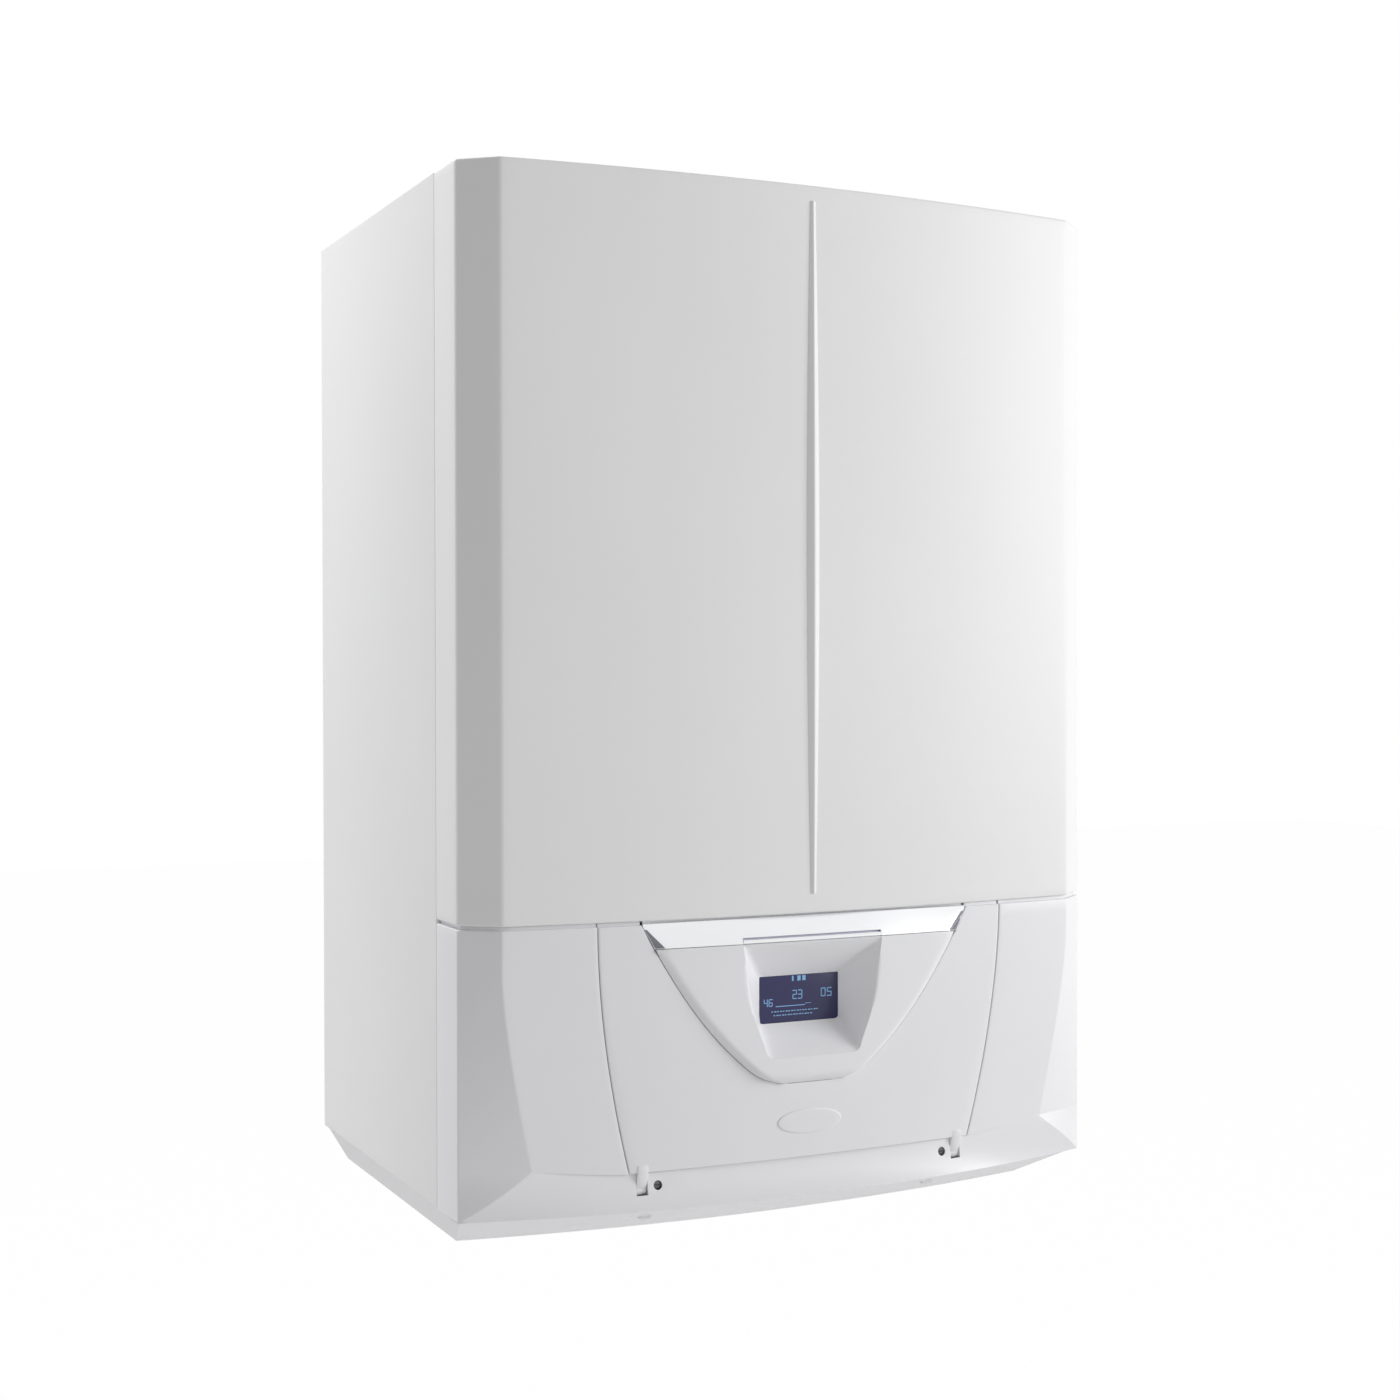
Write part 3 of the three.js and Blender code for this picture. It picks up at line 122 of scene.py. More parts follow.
class StudioLight(bpy.types.PropertyGroup):
    """Strengths of the studio's lamps."""
    ambient: bpy.props.FloatProperty(name="Ambient", default=0.42,
                                     description="Level of the even light from all round")
    right: bpy.props.FloatProperty(name="Right lamp", default=114.0, unit="POWER",
                                   description="Large soft lamp at the front right")
    left: bpy.props.FloatProperty(name="Left lamp", default=38.0, unit="POWER",
                                  description="Large soft lamp at the left")


def sizes():
    return bpy.context.scene.boiler_sizes


def colours():
    return bpy.context.scene.boiler_colours


# ---- Front surfaces ----

def bow_y(x):
    return -sizes().bow / MM * (1 - (x / EDGE_X) ** 2)


def lean_at(z):
    return 9.0 * max(0.0, (269.7 - z) / (269.7 - SILL)) ** 1.4


def front_y(x, z):
    return bow_y(x) + lean_at(z)


def wing_edge(z):
    return EDGE_X - 26.5 * max(0.0, (231.0 - z) / 157.5) ** 1.35


def crease_z(share):
    return SILL + 9.5 * max(0.0, (abs(share) - 0.6) / 0.4) ** 1.6


def bottom_edge_y(x):
    return -18.0 + 42.0 * (x / HALF) ** 2


def fascia_half(z):
    return 192.0 - 30.0 * max(0.0, (FASCIA_TOP - z) / (FASCIA_TOP - SILL)) ** 1.8


def flap_half(z):
    if z >= FLAP_SHOULDER:
        return 143.6 + 10.1 * (z - FLAP_SHOULDER) / (FLAP_TOP - FLAP_SHOULDER)
    foot = FLAP_BOTTOM + 14.0
    if z >= foot:
        drop = (FLAP_SHOULDER - z) / (FLAP_SHOULDER - foot)
        return 143.6 - 84.9 * (0.76 * drop + 0.24 * drop ** 3)
    return 58.7 * max(0.02, (z - FLAP_BOTTOM + 0.3) / 14.3) ** 0.286


def foot_rows(start, count):
    """Heights over the flap's rounded foot, close together where it turns fastest."""
    return [start + 14.0 * (k / count) ** 2.4 for k in range(count + 1)]


# ---- Mesh helpers ----

def rounded(points, radius, steps=4):
    """A line with each inner corner replaced by a small arc."""
    line = [Vector(points[0])]
    for before, corner, after in zip(points, points[1:], points[2:]):
        corner = Vector(corner)
        back, on = Vector(before) - corner, Vector(after) - corner
        reach = min(radius, 0.4 * back.length, 0.4 * on.length)
        start = corner + back.normalized() * reach if back.length > 1e-9 else corner
        end = corner + on.normalized() * reach if on.length > 1e-9 else corner
        for k in range(steps + 1):
            t = k / steps
            line.append(start * (1 - t) ** 2 + corner * 2 * t * (1 - t) + end * t ** 2)
    line.append(Vector(points[-1]))
    return line


def spread(start, end, count):
    return [start + (end - start) * k / count for k in range(count + 1)]


def folded_foot(flange, z):
    """The foot of a folded sheet's section, as (inset, height): its flange and its round fold."""
    fold = sizes().fold / MM
    return [(flange, z), *((fold * (1 - math.sin(a)), z + fold * (1 - math.cos(a)))
                           for a in spread(0.0, math.pi / 2, 4))]


def grid_over(columns, rows, point):
    """A grid laid over a surface: point gives the place of each column and row."""
    bm = bmesh.new()
    bmesh.ops.create_grid(bm, x_segments=columns - 1, y_segments=rows - 1, size=1.0)
    for vert in bm.verts:
        column = round((vert.co.x + 1) / 2 * (columns - 1))
        row = round((vert.co.y + 1) / 2 * (rows - 1))
        vert.co = point(column, row)
    return bm


def grid_of(lines, side=1):
    """A grid over rows of points in millimetres; a left-hand piece's rows run the other way."""
    if side < 0:
        lines = [list(reversed(line)) for line in lines]
    return grid_over(len(lines[0]), len(lines), lambda column, row: at(*lines[row][column]))


def merged(*parts, weld=True):
    """Several meshes as one, with the points that meet made one."""
    whole = bmesh.new()
    for part in parts:
        scratch = bpy.data.meshes.new("scratch")
        part.to_mesh(scratch)
        part.free()
        whole.from_mesh(scratch)
        bpy.data.meshes.remove(scratch)
    if weld:
        bmesh.ops.remove_doubles(whole, verts=whole.verts, dist=WELD)
    return whole


def cleaned(bm):
    bmesh.ops.remove_doubles(bm, verts=bm.verts, dist=WELD)
    bmesh.ops.dissolve_degenerate(bm, dist=1e-6, edges=bm.edges)
    bm.normal_update()


def thickened(bm, thickness):
    """Gives a sheet its wall, on the side away from its faces."""
    cleaned(bm)
    skin, rims = list(bm.faces), [e for e in bm.edges if len(e.link_faces) == 1]
    inner = {}
    for vert in list(bm.verts):
        lean = min((face.normal.dot(vert.normal) for face in vert.link_faces), default=1.0)
        reach = thickness / min(1.0, max(0.6, lean))
        inner[vert] = bm.verts.new(vert.co - vert.normal * reach)
    for face in skin:
        bm.faces.new([inner[vert] for vert in reversed(face.verts)])
    for edge in rims:
        loop = edge.link_loops[0]
        start, end = loop.vert, loop.link_loop_next.vert
        bm.faces.new([end, start, inner[start], inner[end]])
    bm.normal_update()
    return bm


def closed(bm):
    """Closes a sheet's open side and turns its faces outward."""
    cleaned(bm)
    bmesh.ops.holes_fill(bm, edges=[e for e in bm.edges if len(e.link_faces) == 1], sides=0)
    bmesh.ops.recalc_face_normals(bm, faces=bm.faces)
    return bm


def softened(bm, width, angle=30.0, segments=2):
    """Rounds every edge sharper than the angle."""
    limit = math.radians(angle)
    edges = [e for e in bm.edges if len(e.link_faces) == 2 and e.calc_face_angle(0.0) > limit]
    bmesh.ops.bevel(bm, geom=edges, offset=width, segments=segments, profile=0.5,
                    affect="EDGES", material=-1, clamp_overlap=True)
    return bm


def box_at(x, y, z, edge=0.0, segments=2):
    """A block between pairs of millimetres, with soft edges."""
    bm = bmesh.new()
    low, high = at(x[0], y[0], z[0]), at(x[1], y[1], z[1])
    bmesh.ops.create_cube(bm, size=1.0)
    bmesh.ops.scale(bm, vec=high - low, verts=bm.verts)
    bmesh.ops.translate(bm, vec=(low + high) / 2, verts=bm.verts)
    if edge:
        softened(bm, edge * MM, 30.0, segments)
    return bm


def turned(centre, axis, profile, steps=64):
    """A body spun about a line through the centre: profile points are (radius, along), in mm."""
    bm = bmesh.new()
    turn = Vector((0, 0, 1)).rotation_difference(Vector(axis)).to_matrix()
    verts = [bm.verts.new(turn @ Vector((r * MM, 0, h * MM)) + centre) for r, h in profile]
    edges = [bm.edges.new(pair) for pair in zip(verts, verts[1:])]
    bmesh.ops.spin(bm, geom=verts + edges, cent=centre, axis=turn @ Vector((0, 0, 1)),
                   dvec=(0, 0, 0), angle=2 * math.pi, steps=steps, use_merge=True)
    bmesh.ops.remove_doubles(bm, verts=bm.verts, dist=1e-6)
    bmesh.ops.recalc_face_normals(bm, faces=bm.faces)
    return bm


def add_piece(name, bm, body, slot, nodes=(), look=None):
    """Sets a finished mesh in the scene, with its own look or the one usual for its slot."""
    mesh = bpy.data.meshes.new(name)
    bm.to_mesh(mesh)
    bm.free()
    mesh.shade_smooth()
    mesh.set_sharp_from_angle(angle=math.radians(SHARP))
    mesh.materials.append(finish(look or FINISH_OF_SLOT[slot]))
    piece = bpy.data.objects.new(name, mesh)
    bpy.context.scene.collection.objects.link(piece)
    if nodes:
        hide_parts(*nodes)
    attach(piece, body)


def add_cheeks(name, body, side, centre, reach, half, y, z, edge):
    """Two small blocks, one at each side of a hinge's arm."""
    for face in (-1, 1):
        x = side * centre + face * reach
        add_piece("%s_%d_%d" % (name, side + 1, face + 1), box_at((x - half, x + half), y, z, edge),
                  body, "white_plastic")


# ---- Finishes ----

def put(tree, kind, inputs):
    """Adds a shader node; an input gets its value, or a link where the value is a socket."""
    node = tree.nodes.new("ShaderNode" + kind)
    for name, value in inputs.items():
        if isinstance(value, bpy.types.NodeSocket):
            tree.links.new(value, node.inputs[name])
        else:
            node.inputs[name].default_value = value
    return node


def coated(name, colour, roughness, metallic, tint=0.03, tint_scale=8.0, grain=900.0,
           depth=0.02, shine=0.06, coat=0.0, stretch=(1, 1, 1), specular=0.5):
    """A finish with a drifting tint, a fine grain in its surface and an uneven shine."""
    colour = getattr(colours(), colour) if isinstance(colour, str) else colour
    made = bpy.data.materials.new(name)
    made.use_nodes = True
    tree = made.node_tree
    shader = tree.nodes["Principled BSDF"].inputs
    shader["Metallic"].default_value = metallic
    shader["Coat Weight"].default_value = coat
    shader["Coat Roughness"].default_value = 0.08
    shader["Specular IOR Level"].default_value = specular
    place = put(tree, "TexCoord", {}).outputs["Object"]
    place = put(tree, "Mapping", {"Vector": place, "Scale": stretch}).outputs["Vector"]
    drift = put(tree, "TexNoise", {"Vector": place, "Scale": tint_scale, "Detail": 4.0})
    tones = put(tree, "ValToRGB", {"Fac": drift.outputs["Fac"]})
    for element, position, change in zip(tones.color_ramp.elements, (0.3, 0.7), (-tint, tint)):
        element.position = position
        element.color = [*(min(1.0, c * (1 + change)) for c in colour), 1]
    fine = put(tree, "TexNoise", {"Vector": place, "Scale": grain, "Detail": 3.0}).outputs["Fac"]
    gloss = put(tree, "MapRange", {"Value": fine, "To Min": max(0.02, roughness - shine),
                                   "To Max": roughness + shine})
    bump = put(tree, "Bump", {"Height": fine, "Strength": 0.35, "Distance": depth * MM})
    tree.links.new(tones.outputs["Color"], shader["Base Color"])
    tree.links.new(gloss.outputs["Result"], shader["Roughness"])
    tree.links.new(bump.outputs["Normal"], shader["Normal"])
    return made


FINISHES = {
    "powder_coat": ("paint", 0.36, 0, dict(tint=0.012, tint_scale=5, grain=700, depth=0.03,
        shine=0.05, specular=0.3)),
    "white_moulding": ("plastic", 0.38, 0, dict(tint=0.012, tint_scale=6, grain=2200, depth=0.015,
        shine=0.05)),
    "pearl_gloss": ((0.93, 0.94, 0.96), 0.16, 0.45, dict(tint=0.01, tint_scale=20, grain=1500,
        depth=0.004, shine=0.03, coat=0.3)),
    # Dark finish of the thin sheets over the top trim's ends: a painted dark reflection where the
    # trim turns round the flap's shoulders
    "smoked_gloss": ((0.2, 0.2, 0.24), 0.2, 0, dict(tint=0.05, tint_scale=20, grain=1500,
        depth=0.004, shine=0.03)),
    # Grey-lilac finish of the plate behind the grip bar's gap: painted shade of that gap
    "lilac_moulding": ((0.5, 0.5, 0.6), 0.4, 0, dict(tint=0.02, grain=2200, depth=0.01)),
    "display_glass": ("display", 0.2, 0, dict(tint=0.12, tint_scale=18, grain=600, depth=0.002,
        shine=0.02, specular=0.25)),
    "grey_moulding": ((0.4, 0.41, 0.43), 0.5, 0, dict(grain=2600, depth=0.03)),
    "black_moulding": ((0.05, 0.052, 0.056), 0.48, 0, dict(tint=0.08, grain=2600, depth=0.03)),
    "zinc_plate": ((0.62, 0.63, 0.64), 0.42, 0.85, dict(tint=0.07, tint_scale=130, grain=420,
        shine=0.1)),
    # Zinc darkened to paint the shade in the screws' sunk pockets
    "blackened_zinc": ((0.12, 0.12, 0.13), 0.5, 0.4, dict(tint=0.1, tint_scale=60, grain=600)),
    "cast_alloy": ((0.52, 0.53, 0.54), 0.55, 0.8, dict(tint=0.1, tint_scale=40, grain=520,
        depth=0.16, shine=0.1)),
    "brushed_steel": ((0.66, 0.67, 0.68), 0.32, 0.9, dict(tint=0.08, tint_scale=30, grain=500,
        shine=0.1, stretch=(1, 1, 0.03))),
    "drawn_copper": ((0.62, 0.31, 0.18), 0.34, 0.9, dict(tint=0.2, tint_scale=26, grain=380,
        depth=0.015, shine=0.12)),
    "machined_brass": ((0.6, 0.46, 0.2), 0.33, 0.9, dict(tint=0.12, tint_scale=30, shine=0.1,
        stretch=(1, 1, 4))),
    "red_enamel": ((0.5, 0.045, 0.035), 0.35, 0, dict(tint=0.08, grain=700, depth=0.03)),
    "yellow_enamel": ((0.72, 0.5, 0.05), 0.35, 0, dict(tint=0.06, grain=700, depth=0.03)),
    "black_rubber": ((0.028, 0.028, 0.028), 0.8, 0, dict(tint=0.15, grain=1200, depth=0.06)),
    "green_board": ((0.02, 0.15, 0.07), 0.35, 0, dict(tint=0.1, grain=1500, depth=0.01)),
    "lit_marks": ("glyphs", 0.3, 0, dict(tint=0.04, tint_scale=60, depth=0.002)),
}

FINISH_OF_SLOT = {
    "casing_paint": "powder_coat", "white_plastic": "white_moulding", "gloss_trim": "pearl_gloss",
    "display_glass": "display_glass", "grey_plastic": "grey_moulding",
    "dark_plastic": "black_moulding", "zinc_sheet": "zinc_plate", "cast_alloy": "cast_alloy",
    "stainless": "brushed_steel", "copper_pipe": "drawn_copper", "brass_fitting": "machined_brass",
    "red_finish": "red_enamel", "yellow_finish": "yellow_enamel", "rubber": "black_rubber",
    "circuit_board": "green_board",
}


def lay_runs(board):
    """Squared copper runs under the board's solder mask."""
    tree = board.node_tree
    place = put(tree, "TexCoord", {}).outputs["Object"]
    place = put(tree, "Mapping", {"Vector": place, "Rotation": (math.pi / 2, 0, 0)})
    runs = put(tree, "TexBrick", {
        "Vector": place.outputs["Vector"], "Scale": 110.0, "Mortar Size": 0.035,
        "Color1": (0.02, 0.15, 0.07, 1), "Color2": (0.024, 0.17, 0.08, 1),
        "Mortar": (0.05, 0.3, 0.13, 1)})
    tree.links.new(runs.outputs["Color"], tree.nodes["Principled BSDF"].inputs["Base Color"])


def light_up(marks):
    """The display's marks give a little light of their own."""
    shader = marks.node_tree.nodes["Principled BSDF"].inputs
    shader["Emission Color"].default_value = (*colours().glyphs, 1)
    shader["Emission Strength"].default_value = 0.35


def finish(name):
    made = bpy.data.materials.get(name)
    if not made:
        colour, roughness, metallic, rest = FINISHES[name]
        made = coated(name, colour, roughness, metallic, **rest)
        if name == "green_board":
            lay_runs(made)
        if name == "lit_marks":
            light_up(made)
    return made


# ---- Pieces ----

class BOILER_OT_front_cover(bpy.types.Operator):
    """Make the bowed steel front cover with its folded edges"""
    bl_idname = "boiler.front_cover"
    bl_label = "Front cover"

    def execute(self, context):
        fold = sizes().fold / MM
        ends = rounded([(-HALF, COVER_RETURN), (-HALF, CHAMFER_Y), (-EDGE_X, 0.0),
                        (-EDGE_X + 8, bow_y(EDGE_X - 8))], fold + 0.8)
        left = [Vector((-HALF, COVER_RETURN + (CHAMFER_Y + fold - COVER_RETURN) * t))
                for t in spread(0.0, 1.0, 4)[:-1]]
        left += ends[1:]
        middle = [Vector((x, bow_y(x))) for x in spread(-EDGE_X + 8, EDGE_X - 8, 56)[1:-1]]
        right = [Vector((-p.x, p.y)) for p in reversed(left)]
        path = left + middle + right
        inward = []
        for k, point in enumerate(path):
            before, after = path[max(0, k - 1)], path[min(len(path) - 1, k + 1)]
            along = (after - before).normalized()
            inward.append(Vector((-along.y, along.x)))
        flange = 14.0
        profile = folded_foot(flange, COVER_BOTTOM)
        profile += [(0.0, z) for z in spread(COVER_BOTTOM + 8, TOP - 8, 10)]
        profile += [(fold * (1 - math.cos(a)), TOP - fold * (1 - math.sin(a)))
                    for a in spread(0.0, math.pi / 2, 4)]
        profile += [(flange, TOP)]
        rows = []
        for inset, z in profile:
            if inset == flange:
                rows.append([(p.x * 0.955, p.y + flange, z) for p in path])
            else:
                rows.append([(*(p + n * inset), z) for p, n in zip(path, inward)])
        rows.append([(x * 0.93, COVER_RETURN, z) for x, _, z in rows[-1]])
        rows = [[(x, min(y, COVER_RETURN), z) for x, y, z in row] for row in rows]
        shell = thickened(grid_of(rows), sizes().sheet)
        add_piece("cover_shell", shell, "front_cover", "casing_paint", ["upper_front_cover"])
        return {"FINISHED"}


class BOILER_OT_front_rib(bpy.types.Operator):
    """Make the slim crease strip down the middle of the cover"""
    bl_idname = "boiler.front_rib"
    bl_label = "Front rib"

    def execute(self, context):
        rows = []
        for row in range(49):
            share = row / 48
            swell = math.sin(math.pi * share)
            half = (5.0 + 6.5 * swell) / 2
            rise = 1.4 + 2.0 * swell
            z = 287.5 + 579.1 * share
            foot = -18.3
            line = rounded([(-half, foot + 0.6), (-half, foot), (-half * 0.12, foot - rise),
                            (half * 0.12, foot - rise), (half, foot), (half, foot + 0.6)], 0.5, 3)
            rows.append([(p.x, p.y, z) for p in line])
        rows = [[(x * 0.9, -18.1, z - 0.2) for x, y, z in rows[0]], *rows,
                [(x * 0.9, -18.1, z + 0.2) for x, y, z in rows[-1]]]
        strip = closed(grid_of(rows))
        add_piece("cover_rib", strip, "front_cover", "casing_paint", ["front_rib"])
        return {"FINISHED"}


class BOILER_OT_side_panels(bpy.types.Operator):
    """Make the two folded steel side panels"""
    bl_idname = "boiler.side_panels"
    bl_label = "Side panels"

    def execute(self, context):
        fold = sizes().fold / MM
        for name, side in (("left", -1), ("right", 1)):
            path = rounded([(HALF - 14, SIDE_FRONT), (HALF, SIDE_FRONT), (HALF, SIDE_REAR),
                            (HALF - 16, SIDE_REAR)], fold)
            rows = []
            profile = folded_foot(14.0, PAN_EDGE)
            for inset, z in profile + [(0.0, z) for z in spread(PAN_EDGE + 8, TOP, 12)]:
                rows.append([(side * min(p.x, HALF - inset), p.y, z) for p in path])
            panel = grid_of(rows)
            if side < 0:
                bmesh.ops.reverse_faces(panel, faces=panel.faces)
            add_piece(name + "_side_skin", thickened(panel, sizes().sheet), "casing",
                      "casing_paint", [name + "_side_panel"])
        return {"FINISHED"}


COVE_ROWS = [0.0, 0.05, 0.12, 0.2, 0.3, 0.4, 0.467, 0.57, 0.69, 0.8, 0.88, 0.94, 0.985, 1.0]


def cove_point(share, row):
    """A place on the coved sill: row 0 is its bottom edge and row 1 its crest."""
    crest = share * wing_edge(crease_z(share))
    y1 = front_y(crest, crease_z(share)) + 5.0 * (1 - share ** 2)
    y0 = bottom_edge_y(share * HALF)
    x = share * HALF + (crest - share * HALF) * row
    z = PAN_EDGE + (crease_z(share) - PAN_EDGE) * row
    return (x, y0 + (y1 - y0) * (1 - (1 - row) ** 2.2), z)


def wing(side):
    """One wing of the surround, from its bottom edge to its top."""
    edge = sizes().moulded / MM
    seam = 0.45
    rows = []
    inner0 = (fascia_half(SILL) + seam) / wing_edge(crease_z(0.66))
    shares = 18

    def line(shared, surface, hollow, z_of):
        points = []
        for k in range(shares + 1):
            share = shared + (1 - shared) * k / shares
            points.append(surface(share))
        x0, y0 = points[0]
        start = rounded([(x0, y0 + hollow), (x0, y0), points[1]], edge if hollow else 0.01, 3)
        end = rounded([points[-2], points[-1], (HALF, CHAMFER_Y), (HALF, COVER_RETURN)],
                      edge * 1.6, 4)
        full = [*start[:-1], *[Vector(p) for p in points[1:-1]], *end[1:]]
        zs = [z_of(shared)] * (len(start) - 1)
        zs += [z_of(shared + (1 - shared) * k / shares) for k in range(1, shares)]
        zs += [z_of(1.0)] * (len(end) - 1)
        return [(side * p.x, p.y, z) for p, z in zip(full, zs)]

    def cove(row):
        def surface(share):
            return cove_point(share, row)[:2]
        return line(inner0, surface, 0.0,
                    lambda share: PAN_EDGE + (crease_z(share) - PAN_EDGE) * row)

    def face(row, top):
        z_in = SILL + (top - SILL) * row
        inner = (fascia_half(z_in) + seam) / wing_edge(z_in)

        def surface(share):
            z = crease_z(share) + (top - crease_z(share)) * row
            x = share * wing_edge(z)
            return (x, front_y(x, z))
        return line(inner, surface, 9.0,
                    lambda share: crease_z(share) + (top - crease_z(share)) * row)

    for row in COVE_ROWS:
        rows.append(cove(row))
    for row in [0.0, 0.006, 0.03, 0.08, 0.16, 0.24, 0.32, 0.4, 0.48, 0.56, 0.64, 0.72, 0.8, 0.88,
                0.95, 1.0]:
        rows.append(face(row, SURROUND_TOP - edge))
    last = rows[-1]
    for a in spread(0.0, math.pi / 2, 3)[1:]:
        drop = edge * (1 - math.cos(a))
        rows.append([(x - math.copysign(drop, x) * (abs(x) > EDGE_X), y + drop,
                      SURROUND_TOP - edge * (1 - math.sin(a))) for x, y, z in last])
    inmost = min(abs(x) for x, _, _ in last)
    rows.append([(x * (1 - 0.04 * (abs(x) - inmost) / (HALF - inmost)), min(y + 12, COVER_RETURN),
                  SURROUND_TOP) for x, y, z in last])
    rows.insert(0, [(x * (HALF - 8) / HALF, min(y + 8, COVER_RETURN), PAN_EDGE)
                    for x, y, z in rows[0]])
    return grid_of(rows, side)


class BOILER_OT_surround(bpy.types.Operator):
    """Make the moulded lower surround: two wings joined by the coved sill"""
    bl_idname = "boiler.surround"
    bl_label = "Lower surround"

    def execute(self, context):
        share0 = (fascia_half(SILL) + 0.45) / wing_edge(crease_z(0.66))
        places = [*range(0, 121, 12), 131.5, SCREW_X, 141.5, 145.5, PIN_X, 155.5, 159]
        crest_half = wing_edge(SILL)

        def column(k, row):
            """The share of a column: upright up to the slots, then fanning out to the wing."""
            if k < len(places):
                return places[k] / (HALF + (crest_half - HALF) * row)
            last = places[-1] / (HALF + (crest_half - HALF) * row)
            return last + (share0 - last) * (k - len(places) + 1) / 3

        count = len(places) + 3
        order = [(-1, k) for k in range(count - 1, 0, -1)] + [(1, k) for k in range(count)]

        def sill_row(row, back=0.0, drop=0.0):
            points = [cove_point(sign * column(k, row), row) for sign, k in order]
            return [(x, y + back, z - drop) for x, y, z in points]

        sill = [sill_row(row) for row in COVE_ROWS[:-1]]
        sill.append(sill_row(1.0, 0.25, 0.12))
        sill.append(sill_row(1.0, 0.8, 0.2))
        crest = sill_row(1.0)
        for z, more in ((SILL - 0.2, 0.0), (SILL + 7.6, 0.0), (SILL + 8, 0.4)):
            sill.append([(x, max(bow_y(x) + 14.0, y + 0.9) + more, z) for x, y, _ in crest])
        sill.insert(0, [(x * (HALF - 8) / HALF, y + 8, PAN_EDGE) for x, y, z in sill[0]])
        middle = grid_of(sill)
        for side in (-1, 1):
            slot = at(side * PIN_X, 0, 0).x
            screw = at(side * SCREW_X, 0, SCREW_Z)
            gone = [f for f in middle.faces if abs(f.calc_center_median().x - slot) < 5.3 * MM
                    and f.calc_center_median().z > at(0, 0, 46.0).z]
            bmesh.ops.delete(middle, geom=gone, context="FACES")
            gone = [f for f in middle.faces if abs(f.calc_center_median().x - screw.x) < 5.0 * MM
                    and at(0, 0, 48.0).z < f.calc_center_median().z < at(0, 0, 58.0).z]
            around = {e for f in gone for e in f.edges if any(n not in gone for n in e.link_faces)}
            bmesh.ops.delete(middle, geom=gone, context="FACES_ONLY")
            loose = [e for e in middle.edges if not e.link_faces]
            bmesh.ops.delete(middle, geom=loose, context="EDGES")
            around = [e for e in around if e.is_valid]
            ring = []
            for k in range(32):
                angle = 2 * math.pi * k / 32
                x = side * SCREW_X + SCREW_HOLE * math.cos(angle)
                z = SCREW_Z + SCREW_HOLE * math.sin(angle)
                row = (z - PAN_EDGE) / (SILL - PAN_EDGE)
                share = x / (HALF + (crest_half - HALF) * row)
                ring.append(middle.verts.new(at(x, cove_point(share, row)[1] + 0.15, z)))
            edges = [middle.edges.new((a, b)) for a, b in zip(ring, ring[1:] + ring[:1])]
            bmesh.ops.bridge_loops(middle, edges=around + edges)
        bmesh.ops.recalc_face_normals(middle, faces=middle.faces)
        if sum((f.normal.y for f in middle.faces)) > 0:
            bmesh.ops.reverse_faces(middle, faces=middle.faces)
        body = merged(wing(-1), wing(1), middle)
        add_piece("surround_shell", thickened(body, sizes().wall), "casing", "white_plastic",
                  ["lower_surround"])
        for side in (-1, 1):
            line = [(x, front_y(x, SURROUND_TOP) + 3.0)
                    for x in spread(fascia_half(SURROUND_TOP) + 0.6, EDGE_X - 1.6, 8)]
            line += [(HALF - 3.4, CHAMFER_Y + 1.2), (HALF - 3.4, COVER_RETURN - 0.6)]
            upstand = [[(side * x, y, z) for x, y in line]
                       for z in (SURROUND_TOP - 2.0, COVER_BOTTOM - 0.3)]
            add_piece("surround_upstand_%d" % (side + 1), thickened(grid_of(upstand, side), 0.001),
                      "casing", "white_plastic")
            add_cheeks("surround_ear", "casing", side, PIN_X, 6.8, 1.8, (1.0, 14.0), (43.0, 59.0),
                       0.6)
        return {"FINISHED"}


